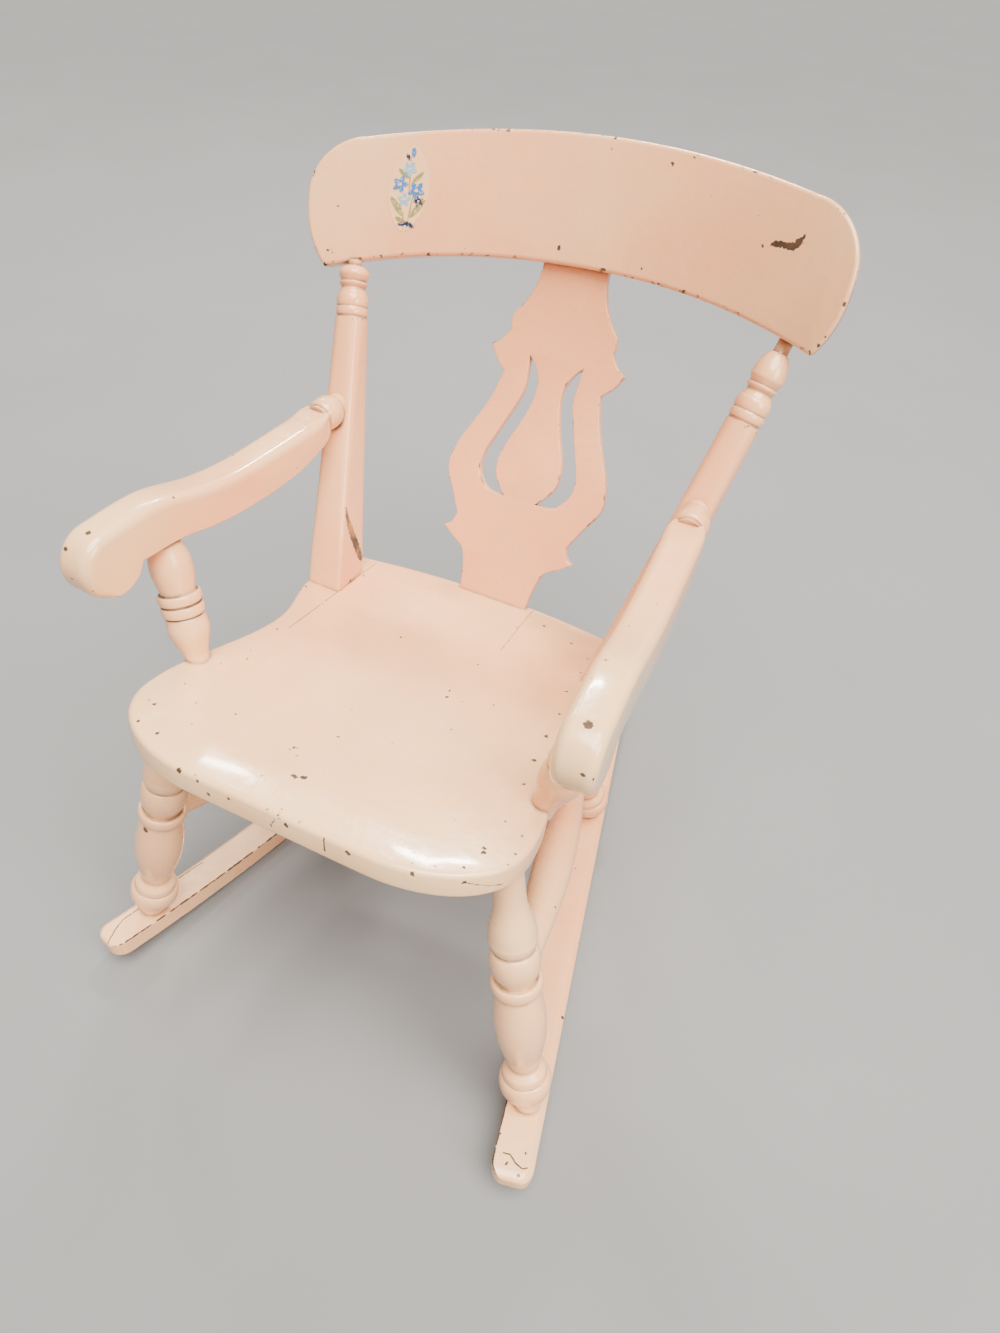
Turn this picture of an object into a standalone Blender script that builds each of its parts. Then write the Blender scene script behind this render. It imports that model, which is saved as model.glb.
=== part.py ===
"""A child's rocking chair: painted Windsor style, sawn splat back, turned legs on two rockers.

Units are metres. The chair faces -Y, +X is to the right of someone who stands in front of it,
+Z is up, and the origin lies on the floor under the middle of the rockers. Left and right in
the pieces' names are that person's too.
"""
import math

import bmesh
import bpy
from mathutils import Matrix, Vector

for leftover in list(bpy.data.objects):
    bpy.data.objects.remove(leftover, do_unlink=True)

# Clearance between any two glued or socketed pieces
FIT = 0.0003

# Rockers: plan line from the front leg's foot, arc, section and toes. The right one lies a
# little further forward than the left one.
ROCKER_LENGTH = 0.640
ROCKER_SHIFT = 0.007
ROCKER_RADIUS = 1.500
ROCKER_CONTACT_Y = -0.022
ROCKER_WIDTH = 0.038
ROCKER_HEIGHT = 0.022
ROCKER_CHAMFER = 0.006
ROCKER_ARRIS = 0.0015
ROCKER_TOE_RADIUS = 0.015
ROCKER_TOE_SHARE = 0.35
ROCKER_WORN_FLAT = 0.050
ROCKER_CONVERGENCE = 0.225

# Where the legs stand on the rockers and where they enter the seat
FRONT_FOOT = (0.221, -0.256)
REAR_FOOT_Y = 0.097
FRONT_LEG_TOP = (0.160, -0.2075)
REAR_LEG_TOP = (0.118, 0.028)
LEG_SOCKET_DEPTH = 0.012

# Seat: a saddled blank of three glued boards, sloping down to the back
SEAT_FRONT_Y = -0.282
SEAT_FRONT_HEIGHT = 0.368
SEAT_TILT = math.radians(9.5)
SEAT_DEPTH = 0.384
SEAT_THICKNESS = 0.024
SEAT_HALF_FRONT = 0.181
SEAT_HALF_WAIST = 0.154
SEAT_HALF_BACK = 0.173
SEAT_CORNER_DEPTH = 0.075
SEAT_CORNER_INSET = 0.102
SEAT_WAIST_AT = 0.215
SEAT_FULL_AT = 0.300
SEAT_BACK_CROWN = 0.014
SEAT_BACK_CORNER = 0.030
SEAT_DISH = 0.007
SEAT_DISH_HALF_WIDTH = 0.129
SEAT_DISH_MARGIN = 0.040
SEAT_ARRIS = 0.004
SEAT_SEAMS = (-0.1345, 0.0460)

# Back posts: raked blocks that turn round above the arms
POST_BASE = (0.1535, 0.028)
POST_TOP_INSET = 0.0439
POST_BLOCK = (0.031, 0.040)
POST_SHAFT_RADIUS = 0.0152
POST_SHAFT_LENGTH = 0.2552
POST_NECK_RADIUS = 0.0066
POST_NECK_SHOWN = 0.0015
POST_TAPER = 0.0210
POST_TAPER_RADIUS = 0.0080
POST_FOOT_POWER = 16.0
POST_TOP_POWER = 2.5
POST_TENON = 0.015
POST_TENON_SHOULDER = 0.007

# Crest rail: bowed in plan, arched on top, leaning back, fixed slightly askew on the posts
RAIL_CENTRE_Y = 0.2245
RAIL_CENTRE_HEIGHT = 0.6035
RAIL_RAKE = math.radians(21.7)
RAIL_ROLL = math.radians(3.1)
RAIL_HALF_WIDTH = 0.2534
RAIL_HALF_FOOT = 0.2352
RAIL_CORNER = 0.046
RAIL_CORNER_HEIGHT = 0.046
RAIL_HEIGHT = 0.1087
RAIL_SHOULDER_HEIGHT = 0.096
RAIL_END_DROP = 0.0164
RAIL_BOW_RADIUS = 0.476
RAIL_THICKNESS = 0.020
RAIL_ARRIS = 0.004

# Splat: a lyre pierced by two slots
SPLAT_FOOT_Y = 0.0856
SPLAT_LENGTH = 0.326
SPLAT_HALF_WIDTH = 0.0853
SPLAT_HALF_FOOT = 0.0380
SPLAT_HALF_TOP = 0.0325
SPLAT_RAKE = math.radians(26.9)
SPLAT_THICKNESS = 0.009
SPLAT_HOLLOW = 0.014
SPLAT_TONGUE = 0.010
SPLAT_TOP_TONGUE = 0.018

# Arms: sawn bars with a knuckle in front and a turned collar at the post
ARM_FRONT = (0.2045, -0.2024, 0.4696)
ARM_LENGTH = 0.268
ARM_KNUCKLE_RADIUS = 0.029
ARM_KNUCKLE_TURN = math.radians(245.0)
ARM_THICKNESS = 0.038
ARM_TAIL_THICKNESS = 0.020
ARM_TAIL_DROP = 0.0012
ARM_WIDTH_FRONT = 0.033
ARM_WIDTH_REAR = 0.035
ARM_ARRIS = 0.004
ARM_NECK_RADIUS = 0.0125
ARM_COLLAR_RADIUS = 0.0165
ARM_COLLAR_AT = 0.012
ARM_TENON_RADIUS = 0.0070
ARM_TENON = 0.010

# Arm supports: short turned balusters between seat and arm
SUPPORT_FOOT = (0.1700, -0.1630)
SUPPORT_BEHIND_KNUCKLE = 0.061
SUPPORT_FOOT_RADIUS = 0.0108
SUPPORT_TENON = 0.010

# Stretchers: one barrel shape along each side, one between them
STRETCHER_FRONT_AT = 0.150
STRETCHER_REAR_AT = 0.125
STRETCHER_END_RADIUS = 0.0085
STRETCHER_BARREL_RADIUS = 0.0195
CROSS_BARREL_RADIUS = 0.0150
STRETCHER_TENON = 0.010
STRETCHER_NECK = 0.004
CROSS_END_RADIUS = 0.0075
CROSS_AT = 0.58

# Facets of the turned pieces, and of the back posts, which need one at each corner
TURNED_SIDES = 12
POST_SIDES = 16

PAINT = {
    "cream": ((0.78, 0.60, 0.45, 1.0), 0.34),
    "pink": ((0.76, 0.50, 0.41, 1.0), 0.36),
    "worn": ((0.66, 0.49, 0.40, 1.0), 0.45),
}


# The three coats of old gloss paint
def paint(name):
    found = bpy.data.materials.get(name)
    if found:
        return found
    colour, roughness = PAINT[name]
    material = bpy.data.materials.new(name)
    material.use_nodes = True
    shader = material.node_tree.nodes["Principled BSDF"]
    shader.inputs["Base Color"].default_value = colour
    shader.inputs["Roughness"].default_value = roughness
    shader.inputs["Metallic"].default_value = 0.0
    return material


# Turning a bmesh into a named, painted object
def finish(name, bm, coat, crease=35.0):
    bmesh.ops.remove_doubles(bm, verts=bm.verts, dist=0.00001)
    bmesh.ops.triangulate(bm, faces=bm.faces)
    bmesh.ops.recalc_face_normals(bm, faces=bm.faces)
    mesh = bpy.data.meshes.new(name)
    bm.to_mesh(mesh)
    bm.free()
    mesh.shade_smooth()
    mesh.set_sharp_from_angle(angle=math.radians(crease))
    mesh.materials.append(paint(coat))
    thing = bpy.data.objects.new(name, mesh)
    bpy.context.collection.objects.link(thing)
    return thing


# A cutter is never drawn and stays out of the model
def cutter(name, bm):
    guide = finish(name, bm, "worn")
    guide.hide_render = True
    guide.display_type = "WIRE"
    return guide


def boolean(thing, other, operation="DIFFERENCE"):
    step = thing.modifiers.new(other.name, "BOOLEAN")
    step.operation = operation
    step.object = other
    step.solver = "EXACT"


# Axes of a turned piece: the local Z runs from start to end
def axis_frame(start, end):
    start = Vector(start)
    along = (Vector(end) - start).normalized()
    side = Vector((1.0, 0.0, 0.0)) if abs(along.x) < 0.9 else Vector((0.0, 1.0, 0.0))
    across = (side - along * side.dot(along)).normalized()
    third = along.cross(across)
    frame = Matrix((across, third, along)).transposed().to_4x4()
    return Matrix.Translation(start) @ frame


# One stretch of a turned profile, as radii against distance from the piece's foot.
# straight: a cone. bead: a half round standing proud by swell. curve: an S from one radius
# to the next. barrel: an arc that swells between its ends.
def stretch(kind, start, length, r0, r1, swell=0.0, steps=4):
    points = []
    for i in range(steps + 1):
        t = i / steps
        if kind == "straight":
            radius = r0 + (r1 - r0) * t
        elif kind == "curve":
            radius = r0 + (r1 - r0) * (1.0 - math.cos(math.pi * t)) / 2.0
        elif kind == "bead":
            angle = math.pi * t
            radius = r0 + (r1 - r0) * t + swell * math.sin(angle)
            points.append((start + length * (1.0 - math.cos(angle)) / 2.0, radius))
            continue
        else:
            radius = r0 + (r1 - r0) * t + swell * math.sin(math.pi * t)
        points.append((start + length * t, radius))
    return points


# A whole profile from a list of stretches, each (kind, length, end radius, swell, steps)
def profile(first_radius, stretches, start=0.0):
    points = [(start, first_radius)]
    for kind, length, radius, swell, steps in stretches:
        z, r = points[-1]
        if length == 0.0:
            points.append((z, radius))
            continue
        points.extend(stretch(kind, z, length, r, radius, swell, steps)[1:])
    return points


# What a profile measures at a distance along it
def reading(points, place):
    for (z0, r0), (z1, r1) in zip(points, points[1:]):
        if z0 <= place <= z1 and z1 > z0:
            return r0 + (r1 - r0) * (place - z0) / (z1 - z0)
    return points[-1][1]


# A solid of revolution along an axis, closed by a point at each end
def revolve(points, frame, sides=TURNED_SIDES):
    bm = bmesh.new()
    path = [(points[0][0], 0.0)] + list(points) + [(points[-1][0], 0.0)]
    verts = [bm.verts.new((radius, 0.0, z)) for z, radius in path]
    edges = [bm.edges.new(pair) for pair in zip(verts, verts[1:])]
    bmesh.ops.spin(bm, geom=verts + edges, cent=(0, 0, 0), axis=(0, 0, 1),
                   angle=2.0 * math.pi, steps=sides, use_merge=True)
    bmesh.ops.remove_doubles(bm, verts=bm.verts, dist=0.00001)
    bmesh.ops.transform(bm, matrix=frame, verts=bm.verts)
    return bm


def round_cutter(name, frame, low, high, radius, sides=TURNED_SIDES):
    return cutter(name, revolve([(low, radius), (high, radius)], frame, sides))


# A solid through rings of points, capped at both ends
def loft(rings):
    bm = bmesh.new()
    first = [bm.verts.new(p) for p in rings[0]]
    cap = bm.faces.new(first)
    for ring in rings[1:]:
        cap = bmesh.ops.extrude_discrete_faces(bm, faces=[cap])["faces"][0]
        for vert, point in zip(cap.verts, ring):
            vert.co = point
    bm.faces.new(first)
    bmesh.ops.recalc_face_normals(bm, faces=bm.faces)
    return bm


# An even curve through named points, for sawn outlines
def smooth(points, steps=4):
    vectors = [Vector(p) for p in points]
    path = [vectors[0]]
    for i in range(len(vectors) - 1):
        a = vectors[max(i - 1, 0)]
        b, c = vectors[i], vectors[i + 1]
        d = vectors[min(i + 2, len(vectors) - 1)]
        for k in range(1, steps + 1):
            t = k / steps
            path.append(0.5 * (2 * b + (c - a) * t + (2 * a - 5 * b + 4 * c - d) * t ** 2
                               + (3 * b - a - 3 * c + d) * t ** 3))
    return [(p.x, p.y) for p in path]


# A board sawn to an outline, from depth 0 back to its thickness, with eased edges
def sawn_board(outline, thickness, arris=0.0):
    bm = bmesh.new()
    face = bm.faces.new([bm.verts.new((x, 0.0, s)) for x, s in outline])
    grown = bmesh.ops.extrude_face_region(bm, geom=[face])
    moved = [g for g in grown["geom"] if isinstance(g, bmesh.types.BMVert)]
    bmesh.ops.translate(bm, vec=(0, thickness, 0), verts=moved)
    bmesh.ops.recalc_face_normals(bm, faces=bm.faces)
    if arris:
        rim = [e for e in bm.edges if abs(e.verts[0].co.y - e.verts[1].co.y) < 1e-6]
        bmesh.ops.bevel(bm, geom=rim, offset=arris, affect="EDGES", segments=2, profile=0.5,
                        material=-1)
    return bm


def slice_across(bm, axis, low, high, count):
    normal = Vector((0, 0, 0))
    normal[axis] = 1.0
    for i in range(1, count):
        place = Vector((0, 0, 0))
        place[axis] = low + (high - low) * i / count
        bmesh.ops.bisect_plane(bm, geom=bm.verts[:] + bm.edges[:] + bm.faces[:],
                               plane_co=place, plane_no=normal, dist=0.00005)


# Rocker geometry: plan line, arc and the worn flat it rests on
def rocker_x(y):
    return FRONT_FOOT[0] - ROCKER_CONVERGENCE * (y - FRONT_FOOT[1])


def rocker_under(y):
    reach = max(abs(y - ROCKER_CONTACT_Y) - ROCKER_WORN_FLAT / 2.0, 0.0)
    return ROCKER_RADIUS - math.sqrt(ROCKER_RADIUS ** 2 - reach ** 2)


def rocker_top(y):
    return rocker_under(y) + ROCKER_HEIGHT


# A point of the seat's flat top plane over plan position x, y, lowered square to the plane
def seat_point(x, y, depth=0.0):
    z = SEAT_FRONT_HEIGHT - (y - SEAT_FRONT_Y) * math.tan(SEAT_TILT)
    return Vector((x, y, z)) - seat_normal() * depth


def seat_normal():
    return Vector((0.0, math.sin(SEAT_TILT), math.cos(SEAT_TILT)))


def seat_frame():
    tilt = Matrix.Rotation(-SEAT_TILT, 4, "X")
    return Matrix.Translation((0.0, SEAT_FRONT_Y, SEAT_FRONT_HEIGHT)) @ tilt


# How far the saddling sinks the top at a place on the seat, from its own axes
def seat_dish(x, v):
    across = max(0.0, 1.0 - (x / SEAT_DISH_HALF_WIDTH) ** 2)
    reach = (v - SEAT_DISH_MARGIN) / (SEAT_DEPTH - 2.0 * SEAT_DISH_MARGIN)
    along = max(0.0, math.sin(math.pi * min(max(reach, 0.0), 1.0)))
    return SEAT_DISH * across ** 0.8 * along ** 0.7


def ease(a, b, t):
    return a + (b - a) * (1.0 - math.cos(math.pi * t)) / 2.0


# Half width of the seat at a distance v back from its front edge
def seat_half(v):
    if v < SEAT_CORNER_DEPTH:
        lead = (SEAT_CORNER_DEPTH - v) / SEAT_CORNER_DEPTH
        drop = 1.0 - math.sqrt(max(1.0 - lead ** 2.3, 0.0))
        return SEAT_HALF_FRONT - SEAT_CORNER_INSET * drop
    if v < SEAT_WAIST_AT:
        t = (v - SEAT_CORNER_DEPTH) / (SEAT_WAIST_AT - SEAT_CORNER_DEPTH)
        return ease(SEAT_HALF_FRONT, SEAT_HALF_WAIST, t)
    if v < SEAT_FULL_AT:
        t = (v - SEAT_WAIST_AT) / (SEAT_FULL_AT - SEAT_WAIST_AT)
        return ease(SEAT_HALF_WAIST, SEAT_HALF_BACK, t)
    return SEAT_HALF_BACK


def seat_outline():
    rows = [SEAT_CORNER_DEPTH * (1.0 - math.cos(math.pi / 2 * i / 6)) for i in range(7)]
    rows += [SEAT_CORNER_DEPTH + (SEAT_WAIST_AT - SEAT_CORNER_DEPTH) * i / 5 for i in range(1, 6)]
    rows += [SEAT_WAIST_AT + (SEAT_FULL_AT - SEAT_WAIST_AT) * i / 4 for i in range(1, 5)]
    right = [(seat_half(v), v) for v in rows]
    centre_x = SEAT_HALF_BACK - SEAT_BACK_CORNER
    centre_v = SEAT_DEPTH - SEAT_BACK_CROWN - SEAT_BACK_CORNER
    for i in range(5):
        angle = math.pi / 2 * i / 4
        right.append((centre_x + SEAT_BACK_CORNER * math.cos(angle),
                      centre_v + SEAT_BACK_CORNER * math.sin(angle)))
    for i in range(1, 6):
        x = centre_x * (1.0 - i / 5)
        right.append((x, SEAT_DEPTH - SEAT_BACK_CROWN * (x / centre_x) ** 2))
    left = [(-x, v) for x, v in reversed(right) if x > 1e-6]
    return right + left


# The seat blank: outline, thickness, eased edges, saddled top; then sawn into its boards
def seat_blank():
    bm = bmesh.new()
    rim = [bm.verts.new((x, v, 0.0)) for x, v in seat_outline()]
    top = bm.faces.new(rim)
    if top.normal.z < 0:
        top.normal_flip()
    lower = bmesh.ops.extrude_face_region(bm, geom=[top])
    moved = [g for g in lower["geom"] if isinstance(g, bmesh.types.BMVert)]
    bmesh.ops.translate(bm, vec=(0, 0, -SEAT_THICKNESS), verts=moved)
    bmesh.ops.recalc_face_normals(bm, faces=bm.faces)
    edges = [e for e in bm.edges
             if abs(e.verts[0].co.z - e.verts[1].co.z) < 1e-6 and len(e.link_faces) == 2]
    bmesh.ops.bevel(bm, geom=edges, offset=SEAT_ARRIS, affect="EDGES", segments=2,
                    profile=0.5, material=-1)
    slice_across(bm, 0, -SEAT_DISH_HALF_WIDTH, SEAT_DISH_HALF_WIDTH, 10)
    slice_across(bm, 1, 0.0, SEAT_DEPTH, 11)
    for vert in bm.verts:
        if vert.co.z > -SEAT_THICKNESS / 2:
            vert.co.z -= seat_dish(vert.co.x, vert.co.y)
    under = [f for f in bm.faces if all(v.co.z < -SEAT_THICKNESS + 1e-6 for v in f.verts)]
    inner = {e for f in under for e in f.edges if all(g in under for g in e.link_faces)}
    bmesh.ops.dissolve_edges(bm, edges=list(inner), use_verts=True)
    return bm


def saw(bm, x, keep_right):
    side = -1.0 if keep_right else 1.0
    bmesh.ops.bisect_plane(bm, geom=bm.verts[:] + bm.edges[:] + bm.faces[:], plane_co=(x, 0, 0),
                           plane_no=(side, 0, 0), dist=0.000005, clear_outer=True)
    rim = [e for e in bm.edges if e.is_boundary]
    bmesh.ops.contextual_create(bm, geom=rim)


def make_seat():
    left_seam, right_seam = SEAT_SEAMS
    limits = {
        "seat_board_left": (None, left_seam - FIT / 2),
        "seat_board_centre": (left_seam + FIT / 2, right_seam - FIT / 2),
        "seat_board_right": (right_seam + FIT / 2, None),
    }
    boards = {}
    for name, (low, high) in limits.items():
        bm = seat_blank()
        if low is not None:
            saw(bm, low, keep_right=True)
        if high is not None:
            saw(bm, high, keep_right=False)
        bmesh.ops.transform(bm, matrix=seat_frame(), verts=bm.verts)
        boards[name] = finish(name, bm, "cream")
    return boards


# The board that lies over plan position x
def board_at(boards, x):
    if x < SEAT_SEAMS[0]:
        return boards["seat_board_left"]
    if x < SEAT_SEAMS[1]:
        return boards["seat_board_centre"]
    return boards["seat_board_right"]


# Legs: foot socketed into the rocker, top socketed into the seat's underside
FRONT_LEG_TURNING = [
    ("straight", 0.0160, 0.0135, 0, 1),
    ("bead", 0.0285, 0.0195, 0.0075, 5),
    ("straight", 0, 0.0208, 0, 1),
    ("straight", 0.0050, 0.0200, 0, 1),
    ("curve", 0.0095, 0.0138, 0, 2),
    ("barrel", 0.1000, 0.0190, 0.0068, 6),
    ("straight", 0, 0.0205, 0, 1),
    ("bead", 0.0120, 0.0205, 0.0022, 3),
    ("straight", 0, 0.0172, 0, 1),
    ("straight", 0.0060, 0.0172, 0, 1),
    ("bead", 0.0300, 0.0175, 0.0045, 5),
    ("straight", 0.0030, 0.0175, 0, 1),
    ("bead", 0.0110, 0.0205, 0.0015, 2),
    ("curve", 0.0420, 0.0135, 0, 4),
    ("straight", 0.0436, 0.0128, 0, 1),
]


def leg_points(turning, length):
    start = -LEG_SOCKET_DEPTH
    points = profile(0.0130, [("straight", LEG_SOCKET_DEPTH, 0.0130, 0, 1)] + turning, start)
    points.append((length + LEG_SOCKET_DEPTH, points[-1][1]))
    return points


def make_legs(boards, rockers):
    drawn_length = sum(step[1] for step in FRONT_LEG_TURNING)
    legs = {}
    for place, top in (("front", FRONT_LEG_TOP), ("rear", REAR_LEG_TOP)):
        for side, hand in (("left", -1.0), ("right", 1.0)):
            foot_y = FRONT_FOOT[1] if place == "front" else REAR_FOOT_Y
            foot = Vector((hand * rocker_x(foot_y), foot_y, rocker_top(foot_y)))
            crown = seat_point(hand * top[0], top[1], SEAT_THICKNESS)
            frame = axis_frame(foot, crown)
            length = (crown - foot).length
            scale = length / drawn_length
            turning = [(k, d * scale, r, s, n) for k, d, r, s, n in FRONT_LEG_TURNING]
            points = leg_points(turning, length)
            name = f"{place}_leg_{side}"
            leg = finish(name, revolve(points, frame), "cream")
            legs[(place, side)] = (leg, frame, points)
            foot_hole = round_cutter(f"{name}_foot_hole", frame, -LEG_SOCKET_DEPTH - FIT,
                                     ROCKER_HEIGHT, points[0][1] + FIT)
            boolean(rockers[side], foot_hole)
            top_hole = round_cutter(f"{name}_top_hole", frame, length - SEAT_THICKNESS,
                                    length + LEG_SOCKET_DEPTH + FIT, points[-1][1] + FIT)
            boolean(board_at(boards, hand * top[0]), top_hole)
    return legs


# Rocker section at distance y, drawn in at the toes to a share of its full width. The outer top
# arris is chamfered, the others are only eased.
def rocker_ring(y, hand, share):
    across = Vector((1.0, ROCKER_CONVERGENCE, 0.0)).normalized()
    centre = Vector((rocker_x(y), y, 0.0))
    half = ROCKER_WIDTH / 2 * share
    drawn_in = ROCKER_HEIGHT * (1.0 - share) / 4.0
    low = rocker_under(y) + drawn_in
    high = rocker_top(y) - 2.0 * drawn_in
    chamfer = ROCKER_CHAMFER * share
    ease = ROCKER_ARRIS
    section = [(-half, low + ease), (-half + ease, low), (half - ease, low), (half, low + ease),
               (half, high - chamfer), (half - chamfer, high),
               (-half + ease, high), (-half, high - ease)]
    ring = [centre + across * w + Vector((0, 0, z)) for w, z in section]
    return [Vector((hand * p.x, p.y, p.z)) for p in ring]


def make_rockers(steps=9):
    toe = ROCKER_TOE_RADIUS
    round_end = []
    for i in range(5):
        angle = math.pi / 2 * i / 4
        share = ROCKER_TOE_SHARE + (1.0 - ROCKER_TOE_SHARE) * math.sin(angle)
        round_end.append((toe * (1.0 - math.cos(angle)), share))
    worn = (ROCKER_CONTACT_Y - ROCKER_WORN_FLAT / 2, ROCKER_CONTACT_Y + ROCKER_WORN_FLAT / 2)
    rockers = {}
    for side, hand in (("left", -1.0), ("right", 1.0)):
        low = -ROCKER_LENGTH / 2 - hand * ROCKER_SHIFT
        high = ROCKER_LENGTH / 2 - hand * ROCKER_SHIFT
        front = [low + toe + (worn[0] - low - toe) * i / steps for i in range(1, steps + 1)]
        rear = [worn[1] + (high - toe - worn[1]) * i / steps for i in range(steps)]
        rings = [rocker_ring(low + back, hand, share) for back, share in round_end]
        rings += [rocker_ring(y, hand, 1.0) for y in front + rear]
        rings += [rocker_ring(high - back, hand, share) for back, share in reversed(round_end)]
        rockers[side] = finish(f"rocker_{side}", loft(rings), "worn")
    return rockers


# A place on the crest rail: x across, t up its face, d behind its front face. The rail is
# rolled about its middle, so that its end at +X stands higher.
def rail_point(x, t, d=0.0, roll=RAIL_ROLL):
    back = t * math.sin(RAIL_RAKE) + d * math.cos(RAIL_RAKE) - x * x / (2.0 * RAIL_BOW_RADIUS)
    up = t * math.cos(RAIL_RAKE) - d * math.sin(RAIL_RAKE)
    return Vector((x * math.cos(roll) - up * math.sin(roll), RAIL_CENTRE_Y + back,
                   RAIL_CENTRE_HEIGHT + x * math.sin(roll) + up * math.cos(roll)))


def rail_foot(x):
    return -RAIL_END_DROP * (abs(x) / RAIL_HALF_FOOT) ** 2.5


# Half of the rail's outline: arched top, round corner, end drawn in to the foot, hollow underside
def rail_half_outline():
    shoulder = RAIL_HALF_WIDTH - RAIL_CORNER
    corner_foot = RAIL_SHOULDER_HEIGHT - RAIL_CORNER_HEIGHT
    half = []
    for i in range(9):
        share = i / 8
        arch = (RAIL_HEIGHT - RAIL_SHOULDER_HEIGHT) * share ** 2
        half.append((shoulder * share, RAIL_HEIGHT - arch))
    for i in range(1, 6):
        angle = math.pi / 2 * i / 5
        half.append((shoulder + RAIL_CORNER * math.sin(angle),
                     corner_foot + RAIL_CORNER_HEIGHT * math.cos(angle)))
    for i in range(1, 6):
        share = i / 5
        x = RAIL_HALF_WIDTH - (RAIL_HALF_WIDTH - RAIL_HALF_FOOT) * share ** 2.5
        half.append((x, corner_foot - (corner_foot + RAIL_END_DROP) * share))
    for i in range(1, 9):
        x = RAIL_HALF_FOOT * (1 - i / 8)
        half.append((x, rail_foot(x)))
    return half


def make_rail():
    right = rail_half_outline()
    left = [(-x, t) for x, t in reversed(right[1:-1])]
    bm = sawn_board(right + left, RAIL_THICKNESS, RAIL_ARRIS)
    slice_across(bm, 0, -RAIL_HALF_WIDTH, RAIL_HALF_WIDTH, 14)
    bmesh.ops.triangulate(bm, faces=bm.faces)
    for vert in bm.verts:
        vert.co = rail_point(vert.co.x, vert.co.z, vert.co.y)
    return finish("crest_rail", bm, "pink")


# Splat: its board is bent, so that the middle lies behind the line from foot to top
def splat_point(x, s, d):
    u = s / SPLAT_LENGTH
    if u <= 0.0:
        hollow = 0.0
    elif u <= 1.0:
        hollow = SPLAT_HOLLOW * math.sin(math.pi * u ** 1.6)
    else:
        hollow = -SPLAT_HOLLOW * 1.6 * math.pi * (u - 1.0)
    foot = seat_point(0.0, SPLAT_FOOT_Y)
    along = Vector((0.0, math.sin(SPLAT_RAKE), math.cos(SPLAT_RAKE)))
    back = Vector((0.0, math.cos(SPLAT_RAKE), -math.sin(SPLAT_RAKE)))
    place = foot + along * s + back * (hollow + d)
    return Vector((x, place.y, place.z))


# The splat's sawing pattern, in millimetres from its centre line and up from the seat,
# drawn on a board of this half width and length
SPLAT_DRAWN = (85.3, 326.0)
SPLAT_SIDE = [
    [(38.5, 12.0), (45.4, 39.2), (60.0, 50.0), (72.4, 58.8)],
    [(72.4, 58.8), (65.5, 64.0), (62.0, 73.8)],
    [(62.0, 73.8), (72.0, 93.0), (85.3, 118.0), (82.0, 143.0), (70.0, 170.0), (59.0, 195.0),
     (51.9, 222.7)],
    [(51.9, 222.7), (62.0, 232.0), (70.5, 245.5)],
    [(70.5, 245.5), (61.0, 252.0), (53.5, 262.4)],
    [(53.5, 262.4), (54.5, 269.0), (54.3, 276.7)],
    [(54.3, 276.7), (44.0, 290.0), (36.5, 304.0)],
]
SLOT_OUTER = [(17.4, 105.3), (37.0, 107.5), (50.0, 122.0), (51.0, 140.0), (43.5, 162.0),
              (33.5, 188.0), (27.0, 208.0), (27.0, 224.0), (28.5, 243.0)]
SLOT_INNER = [(28.5, 243.0), (19.0, 232.5), (13.5, 217.0), (15.5, 198.0), (22.0, 177.0),
              (30.5, 155.0), (34.2, 138.0), (31.0, 121.5), (17.4, 105.3)]


def splat_mark(point):
    x, s = point
    return (x / SPLAT_DRAWN[0] * SPLAT_HALF_WIDTH, s / SPLAT_DRAWN[1] * SPLAT_LENGTH)


def splat_half_outline():
    side = [(SPLAT_HALF_FOOT, -SPLAT_TONGUE), (SPLAT_HALF_FOOT, 2.0 * SPLAT_TONGUE / 3.0)]
    for marks in SPLAT_SIDE:
        side += smooth([splat_mark(mark) for mark in marks], 2)
        side.pop()
    side.append(splat_mark(SPLAT_SIDE[-1][-1]))
    side.append((SPLAT_HALF_TOP, SPLAT_LENGTH - 2.0 * SPLAT_TONGUE / 3.0))
    side.append((SPLAT_HALF_TOP, SPLAT_LENGTH + SPLAT_TOP_TONGUE))
    return side


def bend_splat(bm, slices):
    slice_across(bm, 2, -SPLAT_TONGUE, SPLAT_LENGTH + SPLAT_TOP_TONGUE, slices)
    bmesh.ops.triangulate(bm, faces=bm.faces)
    for vert in bm.verts:
        vert.co = splat_point(vert.co.x, vert.co.z, vert.co.y)
    return bm


def make_splat(centre_board, rail):
    right = splat_half_outline()
    left = [(-x, s) for x, s in reversed(right)]
    board = bend_splat(sawn_board(right + left, SPLAT_THICKNESS), 12)
    splat = finish("splat", board, "pink", 30.0)
    edge = smooth([splat_mark(m) for m in SLOT_OUTER], 2)[:-1]
    edge += smooth([splat_mark(m) for m in SLOT_INNER], 2)[:-1]
    for name, hand in (("slot_left", -1.0), ("slot_right", 1.0)):
        bm = sawn_board([(hand * x, s) for x, s in edge], SPLAT_THICKNESS * 3)
        bmesh.ops.translate(bm, vec=(0, -SPLAT_THICKNESS, 0), verts=bm.verts)
        boolean(splat, cutter(name, bend_splat(bm, 17)))
    foot = (-SPLAT_TONGUE - FIT, SPLAT_TONGUE / 2)
    top = (SPLAT_LENGTH - SPLAT_TONGUE, SPLAT_LENGTH + SPLAT_TOP_TONGUE + FIT)
    mortises = (
        ("splat_foot_mortise", centre_board, SPLAT_HALF_FOOT, foot),
        ("splat_top_mortise", rail, SPLAT_HALF_TOP, top),
    )
    for name, host, half, (low, high) in mortises:
        half += FIT
        bm = sawn_board([(-half, low), (half, low), (half, high), (-half, high)],
                        SPLAT_THICKNESS + 2 * FIT)
        bmesh.ops.translate(bm, vec=(0, -FIT, 0), verts=bm.verts)
        boolean(host, cutter(name, bend_splat(bm, 12)))


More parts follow.
